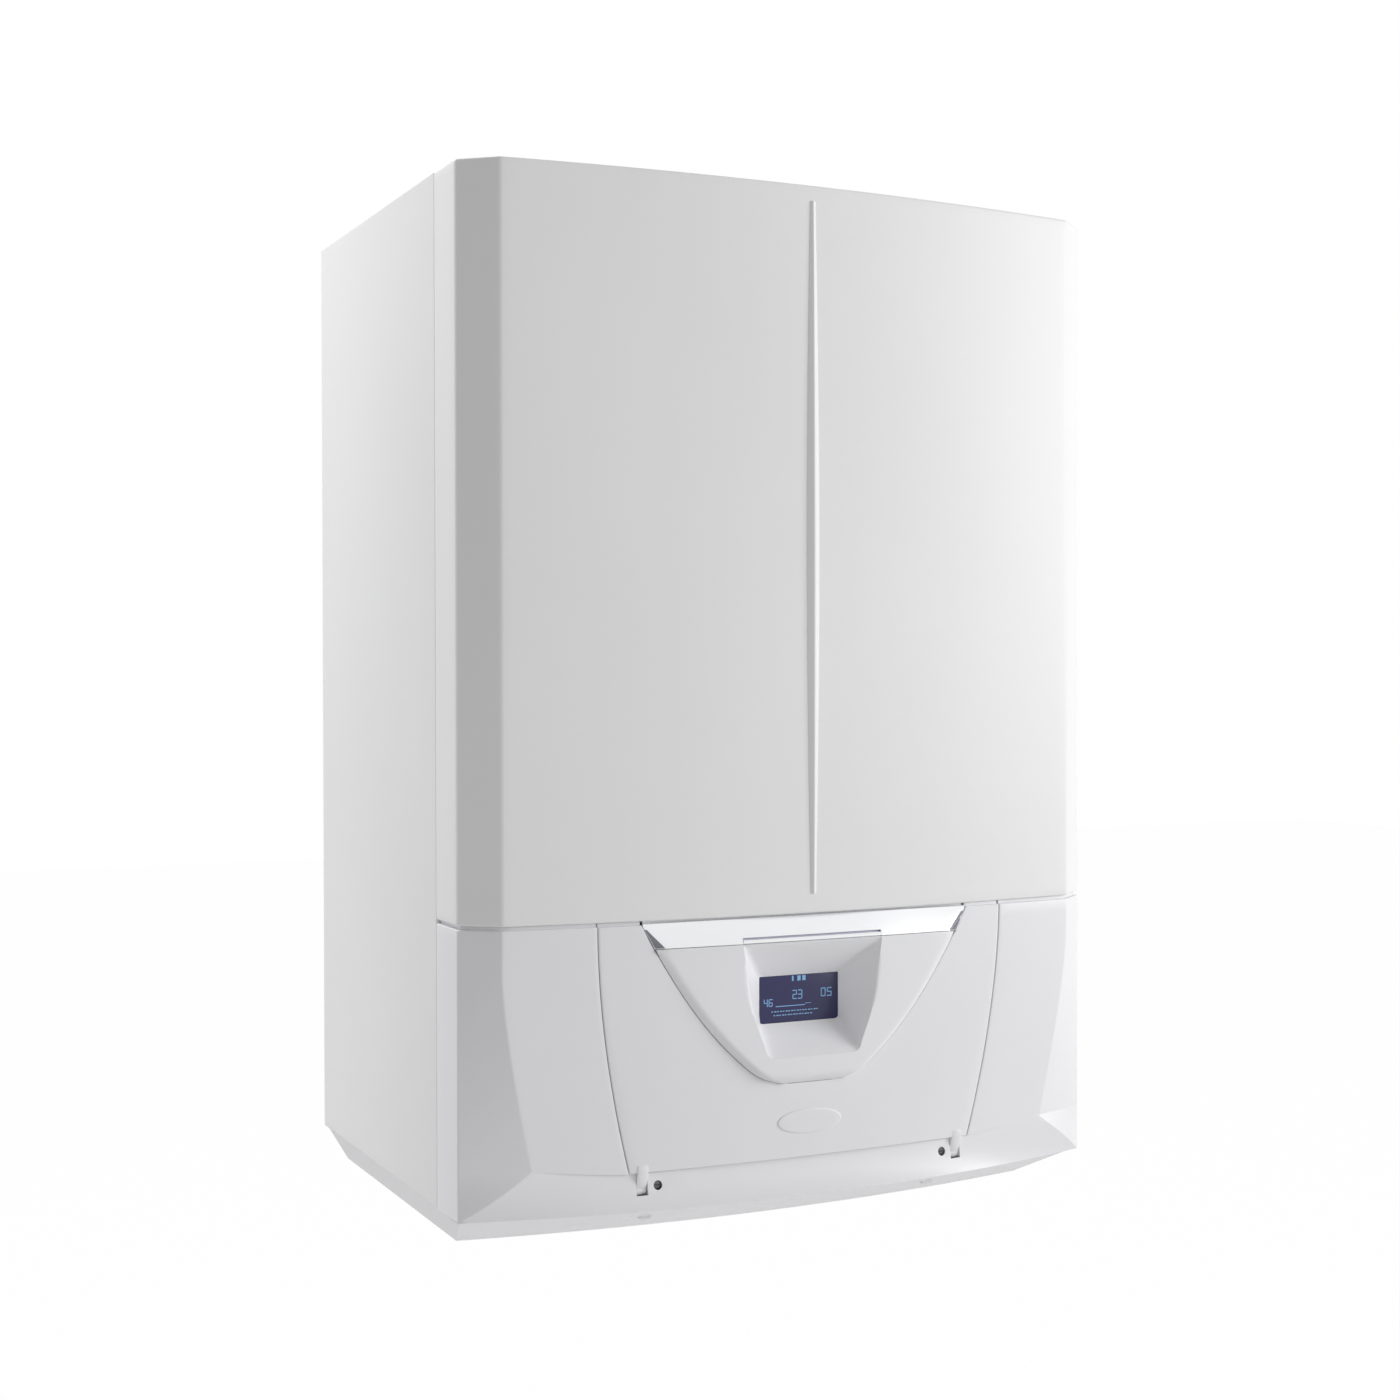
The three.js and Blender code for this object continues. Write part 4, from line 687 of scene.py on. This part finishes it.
class BOILER_OT_fascia(bpy.types.Operator):
    """Make the tilting fascia round the flap"""
    bl_idname = "boiler.fascia"
    bl_label = "Fascia"

    def execute(self, context):
        edge = 1.0
        foot = SILL + 0.675
        levels = [foot, foot + 0.5, foot + 2, foot + 10, *range(80, 121, 10), 125,
                  FLAP_BOTTOM - 0.5]
        upper = [FLAP_BOTTOM - 0.5, *foot_rows(FLAP_BOTTOM + 0.1, 12), 147, 152, 160, 170, 182, 195,
                 208, 220, 232, 242, FLAP_SHOULDER, 256, 262, FASCIA_TOP - 1.2, FASCIA_TOP]
        inner0 = flap_half(FLAP_BOTTOM) + 0.5

        def wing_line(z, inner, hollow):
            outer = fascia_half(z) - 0.45
            xs = [inner + (outer - inner) * k / 14 for k in range(15)]
            start = rounded([(inner, front_y(inner, z) + hollow), (inner, front_y(inner, z)),
                             (xs[1], front_y(xs[1], z))], edge if hollow else 0.01, 3)
            end = rounded([(xs[-2], front_y(xs[-2], z)), (outer, front_y(outer, z)),
                           (outer, front_y(outer, z) + 7)], edge, 3)
            return [*start[:-1], *[Vector((x, front_y(x, z))) for x in xs[1:-1]], *end[1:]]

        parts = []
        for side in (-1, 1):
            rows = []
            low = [(p.x, p.y, foot) for p in wing_line(foot, inner0, 0.0)]
            rows.append([(x, y + 6, z) for x, y, z in low])
            rows.append([(x, y + 0.6, z) for x, y, z in low])
            for z in levels[1:]:
                rows.append([(p.x, p.y, z) for p in wing_line(z, inner0, 0.0)])
            for z in upper[1:]:
                inner = flap_half(max(z, FLAP_BOTTOM)) + 0.5
                rows.append([(p.x, p.y, z) for p in wing_line(z, inner, 8.0)])
            top = rows[-1]
            rows.append([(x, y + 0.4, z + 0.15) for x, y, z in top])
            rows.append([(x, y + 3.2, z + 0.15) for x, y, z in top])
            rows.append([(x, y + 3.4, COVER_BOTTOM - 0.3) for x, y, z in top])
            parts.append(grid_of([[(side * x, y, z) for x, y, z in row] for row in rows], side))
        xs = spread(-inner0, inner0, 24)
        middle = [[(x, front_y(x, foot) + 6, foot) for x in xs],
                  [(x, front_y(x, foot) + 0.6, foot) for x in xs]]
        middle += [[(x, front_y(x, z), z) for x in xs] for z in levels[1:]]
        middle.append([(x, front_y(x, levels[-1]) + 0.5, levels[-1] + 0.15) for x in xs])
        middle.append([(x, front_y(x, levels[-1]) + 8.0, levels[-1] + 0.15) for x in xs])
        parts.append(grid_of(middle))
        shell = thickened(merged(*parts), sizes().wall)
        add_piece("fascia_shell", shell, "fascia", "white_plastic", ["control_fascia"])
        for side in (-1, 1):
            x = side * PIN_X
            knuckle = turned(at(x - 4.7, PIN_Y, PIN_Z), (1, 0, 0), [
                (2.8, 0.3), (5.4, 0), (5.9, 0.3), (6.0, 0.8), (6.0, 8.6), (5.9, 9.1), (5.4, 9.4),
                (2.8, 9.1), (2.8, 0.3)], 48)
            arm = bmesh.new()
            outline = [(0.4, 50.0), (-4.2, 65.5), (-4.2, 71.0), (1.5, 71.0), (6.5, 55.0)]
            verts = [arm.verts.new(at(x - 4.7, y, z)) for y, z in outline]
            face = arm.faces.new(verts)
            extruded = bmesh.ops.extrude_face_region(arm, geom=[face])
            moved = [v for v in extruded["geom"] if isinstance(v, bmesh.types.BMVert)]
            bmesh.ops.translate(arm, vec=(9.4 * MM, 0, 0), verts=moved)
            bmesh.ops.recalc_face_normals(arm, faces=arm.faces)
            softened(arm, 0.5 * MM)
            add_piece("fascia_knuckle_%d" % (side + 1), merged(knuckle, arm), "fascia",
                      "white_plastic")
        rings = [(1.0, -0.6), (1.0, 0.3), (0.99, 0.6), (0.965, 0.8), (0.9, 0.92), (0.7, 1.0),
                 (0.35, 1.0), (0.02, 1.0)]
        count = 96

        def badge_point(column, row):
            share, rise = rings[row]
            angle = 2 * math.pi * column / count
            x = 30.5 * share * math.cos(angle)
            half = (10.5 - 30.5 * (1 - share) * 0.34) * (share > 0.1)
            z = 95.0 + half * math.sin(angle)
            return at(x, front_y(x, z) - rise, z)
        plate = closed(grid_over(count + 1, len(rings), badge_point))
        add_piece("badge_oval", plate, "fascia", "gloss_trim", ["badge_plate"], "white_moulding")
        return {"FINISHED"}


def ray_hit(outline, centre, angle):
    """Where a ray from the centre leaves a closed outline."""
    way = Vector((math.cos(angle), math.sin(angle)))
    best = None
    for a, b in zip(outline, outline[1:] + outline[:1]):
        a, b = Vector(a) - centre, Vector(b) - centre
        span = b - a
        cross = way.x * span.y - way.y * span.x
        if abs(cross) < 1e-12:
            continue
        reach = (a.x * span.y - a.y * span.x) / cross
        along = (a.x * way.y - a.y * way.x) / cross
        if reach > 0 and -1e-6 <= along <= 1 + 1e-6 and (best is None or reach > best):
            best = reach
    return centre + way * best


def shield_outline(inset):
    right = []
    for z in [*foot_rows(FLAP_BOTTOM, 14), *spread(148.0, FLAP_SHOULDER, 14)]:
        right.append((flap_half(z) - inset, max(z, FLAP_BOTTOM + inset)))
    right[-1] = (right[-1][0], FLAP_SHOULDER)
    return [*right, *[(-x, z) for x, z in reversed(right)]]


def funnel_outline(share):
    """The funnel's outline from its mouth at 0 to the window before the display at 1."""
    def towards(mouth, window):
        return mouth + (window - mouth) * share
    top, foot = towards(FUNNEL_TOP, LENS_Z + 20.0), towards(FUNNEL_FOOT, LENS_Z - 20.0)
    reach = towards(8.0, 3.0)
    knots = [towards(half, 38.0) for half in (68.0, 66.0, 62.8, 60.0, 54.0, 45.5, 38.0)]
    right = []
    for k in range(1, 5):
        before, start, end, after = knots[k - 1:k + 3]
        for step in range(5):
            t = step / 5
            x = 0.5 * (2 * start + (end - before) * t
                       + (2 * before - 5 * start + 4 * end - after) * t * t
                       + (3 * start - before - 3 * end + after) * t ** 3)
            right.append((x, top + (foot + reach - top) * (k - 1 + t) / 4))
    x0 = knots[5]
    right += [(x0 - reach * (1 - math.cos(a)), foot + reach * (1 - math.sin(a)))
              for a in spread(0.0, math.pi / 2, 6)]
    return [*right, *[(-x, z) for x, z in reversed(right)]]


class BOILER_OT_flap(bpy.types.Operator):
    """Make the shield flap with its funnel, its top trim and its grip bar"""
    bl_idname = "boiler.flap"
    bl_label = "Shield flap"

    def execute(self, context):
        centre = Vector((0.0, LENS_Z))
        outer = shield_outline(0.0)
        rim = funnel_outline(0.0)
        corners = [*outer[28:31], rim[0], rim[-1]]
        angles = {round(math.atan2(p[1] - centre.y, p[0]), 6) for p in corners}
        angles |= {round(a, 6) for a in spread(-math.pi, math.pi, 180)[:-1]}
        angles = sorted(angles)
        tidy = [angles[0]]
        for angle in angles[1:]:
            if angle - tidy[-1] > 0.004:
                tidy.append(angle)
        angles = tidy

        def face_at(x):
            return -20.0 + 5.0 * (x / 144.0) ** 2

        def ring(outline, y_of):
            hits = [ray_hit(outline, centre, angle) for angle in angles]
            return [(p.x, y_of(p.x, p.y), p.y) for p in hits]

        def flank(inset, rise):
            hits = [ray_hit(shield_outline(inset), centre, angle) for angle in angles]
            row = []
            for p in hits:
                base = front_y(p.x, p.y)
                lift = 1.0 if p.y >= FLAP_SHOULDER - 0.01 else rise
                row.append((p.x, base + (min(face_at(p.x), base) - base) * lift, p.y))
            return row

        rows = []
        seam = ring(outer, lambda x, z: front_y(x, z) + 0.9)
        rows.append([(x, y + 2.4 + 4.6 * max(0.0, min(1.0, (z - 150.0) / 20.0)), z)
                     for x, y, z in seam])
        rows.append(seam)
        for inset, rise in [(0.0, 0.02), (0.25, 0.1), (0.9, 0.24), (2.0, 0.42), (3.4, 0.62),
                            (5.0, 0.8), (6.8, 0.93), (8.6, 0.99), (10.5, 1.0)]:
            rows.append(flank(inset, rise))
        near = rows[-1]
        mouth = ring(rim, lambda x, z: face_at(x))
        for t in (0.25, 0.5, 0.75, 0.93, 0.985):
            rows.append([(a[0] + (b[0] - a[0]) * t, face_at(a[0] + (b[0] - a[0]) * t),
                          a[2] + (b[2] - a[2]) * t) for a, b in zip(near, mouth)])
        rows.append([(x, y + 0.35, z) for x, y, z in mouth])
        for share in (0.05, 0.15, 0.3, 0.5, 0.7, 0.85, 1.0):
            y = -20.0 + (PANEL - 1.1 + 20.0) * share
            inside = funnel_outline(share)
            rows.append([(p[0], y + (5.0 * (p[0] / 144.0) ** 2) * (1 - share), p[2])
                         for p in ring(inside, lambda x, z: 0.0)])
        rows = [[*row, row[0]] for row in rows]
        shell = grid_of(rows)

        def cleared():
            """Keeps the skin inside its own half width and clear of the hinge's two arms."""
            arm_top, arm_face = at(0, 0, 141.0).z, at(0, -15.2, 0).y
            for vert in shell.verts:
                vert.co.x = max(-143.6 * MM, min(143.6 * MM, vert.co.x))
                if 24.4 * MM < abs(vert.co.x) < 34.6 * MM and vert.co.z < arm_top:
                    vert.co.y = min(vert.co.y, arm_face)
        cleared()
        thickened(shell, sizes().wall * 0.9)
        cleared()
        add_piece("flap_shell", shell, "flap", "white_plastic", ["shield_flap"])
        top = FLAP_TOP + 2.6

        def strip_y(x, z):
            t = (z - FLAP_SHOULDER) / (top - FLAP_SHOULDER)
            low = min(face_at(x), front_y(x, z))
            near_end = max(0.0, (abs(x) - flap_half(z) + 9.5 * (1 - t)) / 9.5) if t < 1 else 0.0
            low = low + (front_y(x, z) - low) * min(1.0, near_end) ** 2
            return min(low + (-11.0 - low) * t, -9.2)

        def strip(xs_at, foot, back):
            rows = []
            for t, behind in ((0.0, back), (0.0, 0.0), (0.03, 0.0), (0.3, 0.0), (0.6, 0.0),
                              (0.9, 0.0), (0.985, 0.0), (1.0, 0.5), (1.0, back)):
                z = foot + (top - foot) * t
                rows.append([(x, strip_y(x, z) + behind, z) for x in xs_at(z)])
            return grid_of(rows)

        notch = 66.0
        wings = []
        for side in (-1, 1):
            wing = strip(lambda z, side=side: sorted(
                side * (notch + (flap_half(min(z, FLAP_TOP)) - notch) * k / 20) for k in range(21)),
                FLAP_SHOULDER + 0.5, 2.0)
            wings.append(wing)
        over = strip(lambda z: spread(-notch, notch, 28), FLAP_SHOULDER + 5.4, 2.0)
        add_piece("flap_trim_strip", thickened(merged(*wings, over), 0.0012), "flap", "gloss_trim",
                  ["flap_top_trim"])
        xs = spread(-notch + 0.3, notch - 0.3, 28)
        bar = []
        for z, behind in ((FLAP_SHOULDER + 0.6, 2.4), (FLAP_SHOULDER + 0.6, 0.3),
                          (FLAP_SHOULDER + 0.9, -0.2), (FLAP_SHOULDER + 3.0, -0.3),
                          (FLAP_SHOULDER + 3.6, 0.2), (FLAP_SHOULDER + 3.7, 2.4)):
            bar.append([(x, strip_y(x, z) + behind, z) for x in xs])
        add_piece("flap_grip", thickened(grid_of(bar), 0.0008), "flap", "gloss_trim",
                  ["flap_grip_bar"])
        # The plate behind the gap above the grip bar is tinted grey-lilac: painted shade in the gap
        gap_shade_backing = [[(x, strip_y(x, z) + 2.3, z) for x in xs]
                   for z in spread(FLAP_SHOULDER + 0.6, FLAP_SHOULDER + 8.0, 3)]
        add_piece("flap_grip_recess", thickened(grid_of(gap_shade_backing), 0.0008), "flap", "white_plastic",
                  look="lilac_moulding")
        xs = spread(-flap_half(FLAP_TOP) + 1.0, flap_half(FLAP_TOP) - 1.0, 40)
        lip = [[(x, strip_y(x, top) + 2.6, top - 3.0) for x in xs],
               [(x, strip_y(x, top) + 2.8, COVER_BOTTOM - 0.3) for x in xs]]
        add_piece("flap_upstand", thickened(grid_of(lip), 0.001), "flap", "white_plastic")
        # Thin dark sheets laid just over the ends of the top trim paint the dark reflection at the
        # flap's shoulders
        for side in (-1, 1):
            ends = []
            for z in spread(FLAP_SHOULDER + 0.9, FLAP_TOP - 2.0, 10):
                share = (FLAP_TOP - z) / (FLAP_TOP - FLAP_SHOULDER)
                outer_x = flap_half(z) - 0.4
                inner_x = outer_x - 0.6 - 8.0 * share
                ends.append([(side * x, strip_y(x, z) - 0.25, z)
                             for x in spread(inner_x, outer_x, 6)])
            add_piece("flap_trim_end_%d" % (side + 1), thickened(grid_of(ends, side), 0.0001),
                      "flap", "gloss_trim", look="smoked_gloss")
        for side in (-1, 1):
            add_cheeks("flap_cheek", "flap", side, ARM_X, 4.1, 1.5, (-18.4, -11.0), (134.0, 140.0),
                       0.5)
        return {"FINISHED"}


SEGMENTS = {"a": (0, 2, 1, 2), "b": (1, 1, 1, 2), "c": (1, 0, 1, 1), "d": (0, 0, 1, 0),
            "e": (0, 0, 0, 1), "f": (0, 1, 0, 2), "g": (0, 1, 1, 1)}
DIGITS = {"0": "abcdef", "2": "abged", "3": "abgcd", "4": "fgbc", "5": "afgcd", "6": "afgecd"}


class BOILER_OT_display(bpy.types.Operator):
    """Make the display's glass and its lit numbers and bars"""
    bl_idname = "boiler.display"
    bl_label = "Display"

    def execute(self, context):
        glass = box_at((-39.9, 39.9), (PANEL - 0.5, PANEL + 2.4), (LENS_Z - 21.9, LENS_Z + 21.9),
                       0.6, 3)
        add_piece("display_glass_plate", glass, "fascia", "display_glass", ["display_lens"])
        marks = []

        def bar(x0, x1, z0, z1):
            marks.append(box_at((x0, x1), (PANEL - 0.62, PANEL - 0.45), (z0, z1), 0.06, 1))

        def number(text, x, z, width, height, stroke):
            for sign in text:
                for key in DIGITS[sign]:
                    u0, v0, u1, v1 = SEGMENTS[key]
                    x0, x1 = x + u0 * width, x + u1 * width
                    z0, z1 = z + v0 * height / 2, z + v1 * height / 2
                    bar(x0 - stroke / 2, x1 + stroke / 2, z0 - stroke / 2, z1 + stroke / 2)
                x += width * 1.55

        number("46", -33.0, LENS_Z - 5.5, 3.0, 5.6, 0.75)
        number("23", -5.5, LENS_Z - 0.5, 3.4, 7.0, 0.8)
        number("05", 22.0, LENS_Z, 3.8, 6.6, 0.85)
        for x, width in ((-6.4, 1.6), (-1.2, 3.2), (3.6, 3.2)):
            bar(x, x + width, LENS_Z + 14.6, LENS_Z + 19.0)
        bar(-22.0, 6.0, LENS_Z - 6.6, LENS_Z - 5.9)
        bar(6.0, 12.0, LENS_Z - 5.2, LENS_Z - 4.8)
        for row, (start, count) in enumerate(((-26.0, 17), (-24.0, 14))):
            for k in range(count):
                x = start + 2.7 * k
                bar(x, x + 1.5 + 0.5 * (k % 2), LENS_Z - 11.0 - 3.2 * row,
                    LENS_Z - 10.1 - 3.2 * row)
        add_piece("display_marks", merged(*marks, weld=False), "fascia", "display_glass",
                  look="lit_marks")
        return {"FINISHED"}


class BOILER_OT_buttons(bpy.types.Operator):
    """Make the six push buttons with dished caps"""
    bl_idname = "boiler.buttons"
    bl_label = "Buttons"

    def execute(self, context):
        for side_name, side in (("left", -1), ("right", 1)):
            for name, (x, z) in BUTTONS.items():
                node = "button_%s_%s" % (side_name, name)
                cap = turned(at(side * x, PANEL + 7.0, z), (0, -1, 0), [
                    (0.0, 0.0), (6.2, 0.0), (6.2, 11.3), (6.05, 11.75), (5.6, 12.0), (5.0, 11.95),
                    (3.0, 11.6), (0.0, 11.45)], 48)
                dark = name == "mode"
                add_piece(node + "_cap", cap, node, "dark_plastic" if dark else "white_plastic",
                          [node])
                depth = (PANEL - 4.6, PANEL - 4.45)
                strokes = [box_at((side * x - half, side * x + half), depth, (z - tall, z + tall),
                                  0.05, 1)
                           for half, tall in [(2.2, 0.4), (0.4, 2.2)][:2 if name == "up" else 1]]
                add_piece(node + "_mark", merged(*strokes, weld=False), node, "grey_plastic")
        return {"FINISHED"}


class BOILER_OT_screws(bpy.types.Operator):
    """Make the slotted screws and the tilt pins of the sill"""
    bl_idname = "boiler.screws"
    bl_label = "Sill screws"

    def execute(self, context):
        for name, side in (("left", -1), ("right", 1)):
            x = side * SCREW_X
            head = turned(at(x, 1.3, SCREW_Z), (0, -1, 0), [
                (0.0, 0.0), (3.5, 0.0), (3.5, 1.2), (3.2, 1.7), (2.4, 1.9), (0.0, 1.9)], 40)
            shank = turned(at(x, 30.0, SCREW_Z), (0, -1, 0), [
                (0.0, 0.0), (1.0, 0.0), (1.7, 1.2), (1.7, 28.9), (0.0, 28.9)], 32)
            # A thin black bar on each screw head paints the shade inside its slot
            slot_shade_bar = box_at((x - 2.4, x + 2.4), (-0.66, -0.56),
                              (SCREW_Z - 0.45, SCREW_Z + 0.45), 0.03, 1)
            # The screw heads take the darkened zinc: painted shade of their pockets
            add_piece("sill_screw_%s_turned" % name, merged(head, shank), "casing", "zinc_sheet",
                      ["sill_screw_" + name], "blackened_zinc")
            add_piece("sill_screw_%s_slot" % name, slot_shade_bar, "casing", "rubber")
            pin = turned(at(side * PIN_X - 8, PIN_Y, PIN_Z), (1, 0, 0), [
                (0.0, 0.0), (2.1, 0.0), (2.5, 0.5), (2.5, 15.5), (2.1, 16.0), (0.0, 16.0)], 40)
            add_piece("tilt_pin_%s_turned" % name, pin, "casing", "zinc_sheet",
                      ["tilt_pin_" + name])
        return {"FINISHED"}


class BOILER_OT_flue(bpy.types.Operator):
    """Make the flue flange, its gasket and the two air caps on top"""
    bl_idname = "boiler.flue"
    bl_label = "Flue and caps"

    def execute(self, context):
        seat = TOP + 0.3
        flange = turned(at(FLUE_X, FLUE_Y, seat + 2.3), (0, 0, 1), [
            (30, 0), (61.4, 0), (62, 0.6), (62, 4.4), (61.4, 5), (52, 5), (50.4, 5.6), (50, 7),
            (50, 39.2), (49.4, 40), (47.6, 40), (47, 39.4), (47, 9), (46, 8), (33.5, 8), (32.5, 9),
            (32.5, 39.4), (32, 40), (30.6, 40), (30, 39.4), (30, 0)], 96)
        add_piece("flue_socket", flange, "casing", "dark_plastic", ["flue_flange"])
        gasket = turned(at(FLUE_X, FLUE_Y, seat), (0, 0, 1), [
            (44, 0), (61.6, 0), (62, 0.4), (62, 1.6), (61.6, 2), (44, 2), (44, 0)], 96)
        add_piece("flue_seal", gasket, "casing", "rubber", ["flue_gasket"])
        for name, x in AIR_CAPS.items():
            cap = turned(at(x, FLUE_Y, seat), (0, 0, 1), [
                (0, 0), (39.6, 0), (40, 0.5), (40, 2.8), (39.2, 3.6), (36, 5), (15.5, 5), (14, 5.4),
                (12.6, 7.4), (11.6, 8), (0, 8)], 80)
            add_piece("air_cap_%s_turned" % name, cap, "casing", "dark_plastic",
                      ["air_cap_" + name])
        return {"FINISHED"}


class BOILER_OT_carried(bpy.types.Operator):
    """Give every carried-over node its finish, merged faces and soft edges"""
    bl_idname = "boiler.carried"
    bl_label = "Carried-over nodes"

    def execute(self, context):
        slots = {s["node"]: s["material_slot"] for s in frame["record"]["subparts"]}
        for name, node in frame["nodes"].items():
            node.data.materials.clear()
            node.data.materials.append(finish(FINISH_OF_SLOT[slots[name]]))
            node.data.shade_smooth()
            weld = node.modifiers.new("weld", "WELD")
            weld.merge_threshold = WELD
            flat = node.modifiers.new("flat", "DECIMATE")
            flat.decimate_type = "DISSOLVE"
            flat.angle_limit = math.radians(0.4)
            soft = node.modifiers.new("soft", "BEVEL")
            soft.width = 0.0005
            soft.segments = 2
            soft.limit_method = "ANGLE"
            soft.angle_limit = math.radians(32)
            normals = node.modifiers.new("normals", "WEIGHTED_NORMAL")
            normals.keep_sharp = True
        return {"FINISHED"}


def shown(tree):
    """1 on the rays that show the background: those of the camera, of gloss and of glass."""
    path = put(tree, "LightPath", {}).outputs
    either = put(tree, "Math", {0: path["Is Camera Ray"], 1: path["Is Glossy Ray"]})
    any_ray = put(tree, "Math", {0: either.outputs[0], 1: path["Is Transmission Ray"]})
    either.operation = any_ray.operation = "MAXIMUM"
    return any_ray.outputs[0]


class BOILER_OT_stage(bpy.types.Operator):
    """Set the pale floor, the plain lamps, the world and the camera"""
    bl_idname = "boiler.stage"
    bl_label = "Stage"

    def execute(self, context):
        scene = context.scene
        light = scene.boiler_light
        scene.view_settings.view_transform = "Standard"
        world = bpy.data.worlds.new("studio")
        scene.world = world
        world.use_nodes = True
        tree = world.node_tree
        tree.nodes.clear()
        even = put(tree, "Background", {"Color": (1, 1, 1, 1), "Strength": light.ambient})
        white = put(tree, "Background", {"Color": (1, 1, 1, 1)})
        mix = put(tree, "MixShader", {0: shown(tree), 1: even.outputs[0], 2: white.outputs[0]})
        put(tree, "OutputWorld", {0: mix.outputs[0]})

        pale = bpy.data.materials.new("pale_floor")
        pale.use_nodes = True
        tree = pale.node_tree
        tree.nodes.clear()
        dull = put(tree, "BsdfDiffuse", {"Color": (0.8, 0.8, 0.8, 1)})
        glow = put(tree, "Emission", {})
        share = put(tree, "Math", {0: shown(tree), 1: 0.985})
        share.operation = "MULTIPLY"
        mix = put(tree, "MixShader", {0: share.outputs[0], 1: dull.outputs[0], 2: glow.outputs[0]})
        put(tree, "OutputMaterial", {0: mix.outputs[0]})
        bm = bmesh.new()
        bmesh.ops.create_grid(bm, x_segments=1, y_segments=1, size=9.0)
        bmesh.ops.translate(bm, vec=(0, 0, FLOOR), verts=bm.verts)
        mesh = bpy.data.meshes.new("floor")
        bm.to_mesh(mesh)
        bm.free()
        mesh.materials.append(pale)
        floor = bpy.data.objects.new("floor", mesh)
        scene.collection.objects.link(floor)

        for name, power, size, spot, target in [
            ("right_lamp", light.right, 2.2, (3.6, -2.6, 0.5), (0.1, -0.45, -0.4)),
            ("left_lamp", light.left, 1.0, (-1.3, 0.9, 1.4), (-0.3, -0.2, -0.1)),
        ]:
            lamp = bpy.data.lights.new(name, "AREA")
            lamp.energy = power
            lamp.size = size
            holder = bpy.data.objects.new(name, lamp)
            scene.collection.objects.link(holder)
            holder.location = spot
            aim = Vector(target) - Vector(spot)
            holder.rotation_euler = aim.to_track_quat("-Z", "Y").to_euler()

        view = bpy.data.cameras.new("camera")
        view.lens = 52.894
        view.sensor_width = 36.0
        camera = bpy.data.objects.new("camera", view)
        scene.collection.objects.link(camera)
        turn = (Matrix.Rotation(math.radians(-25.561), 4, "Z")
                @ Matrix.Rotation(math.radians(90.0 - 0.717), 4, "X")
                @ Matrix.Rotation(math.radians(-0.096), 4, "Z"))
        camera.matrix_world = Matrix.Translation((-0.82985, -1.981, -0.34848)) @ turn
        scene.camera = camera
        return {"FINISHED"}


class BOILER_PT_panel(bpy.types.Panel):
    """Sidebar panel with the boiler's pieces"""
    bl_label = "Storage combi boiler"
    bl_idname = "BOILER_PT_panel"
    bl_space_type = "VIEW_3D"
    bl_region_type = "UI"
    bl_category = "Boiler"

    def draw(self, context):
        for group in (context.scene.boiler_sizes, context.scene.boiler_colours,
                      context.scene.boiler_light):
            column = self.layout.column(align=True)
            for name in group.bl_rna.properties.keys():
                if name not in ("rna_type", "name"):
                    column.prop(group, name)
        for made in PIECES:
            self.layout.operator(made.bl_idname)


PIECES = (
    BOILER_OT_carried, BOILER_OT_front_cover, BOILER_OT_front_rib, BOILER_OT_side_panels,
    BOILER_OT_surround, BOILER_OT_fascia, BOILER_OT_flap, BOILER_OT_display, BOILER_OT_buttons,
    BOILER_OT_screws, BOILER_OT_flue, BOILER_OT_stage,
)
CLASSES = (CasingSizes, CasingColours, StudioLight, *PIECES, BOILER_PT_panel)


def register():
    for made in CLASSES:
        bpy.utils.register_class(made)
    bpy.types.Scene.boiler_sizes = bpy.props.PointerProperty(type=CasingSizes)
    bpy.types.Scene.boiler_colours = bpy.props.PointerProperty(type=CasingColours)
    bpy.types.Scene.boiler_light = bpy.props.PointerProperty(type=StudioLight)


def unregister():
    del bpy.types.Scene.boiler_light
    del bpy.types.Scene.boiler_colours
    del bpy.types.Scene.boiler_sizes
    for made in reversed(CLASSES):
        bpy.utils.unregister_class(made)


def main():
    register()
    for made in PIECES:
        group, name = made.bl_idname.split(".")
        getattr(getattr(bpy.ops, group), name)()
    bpy.context.view_layer.update()


if __name__ == "__main__":
    main()
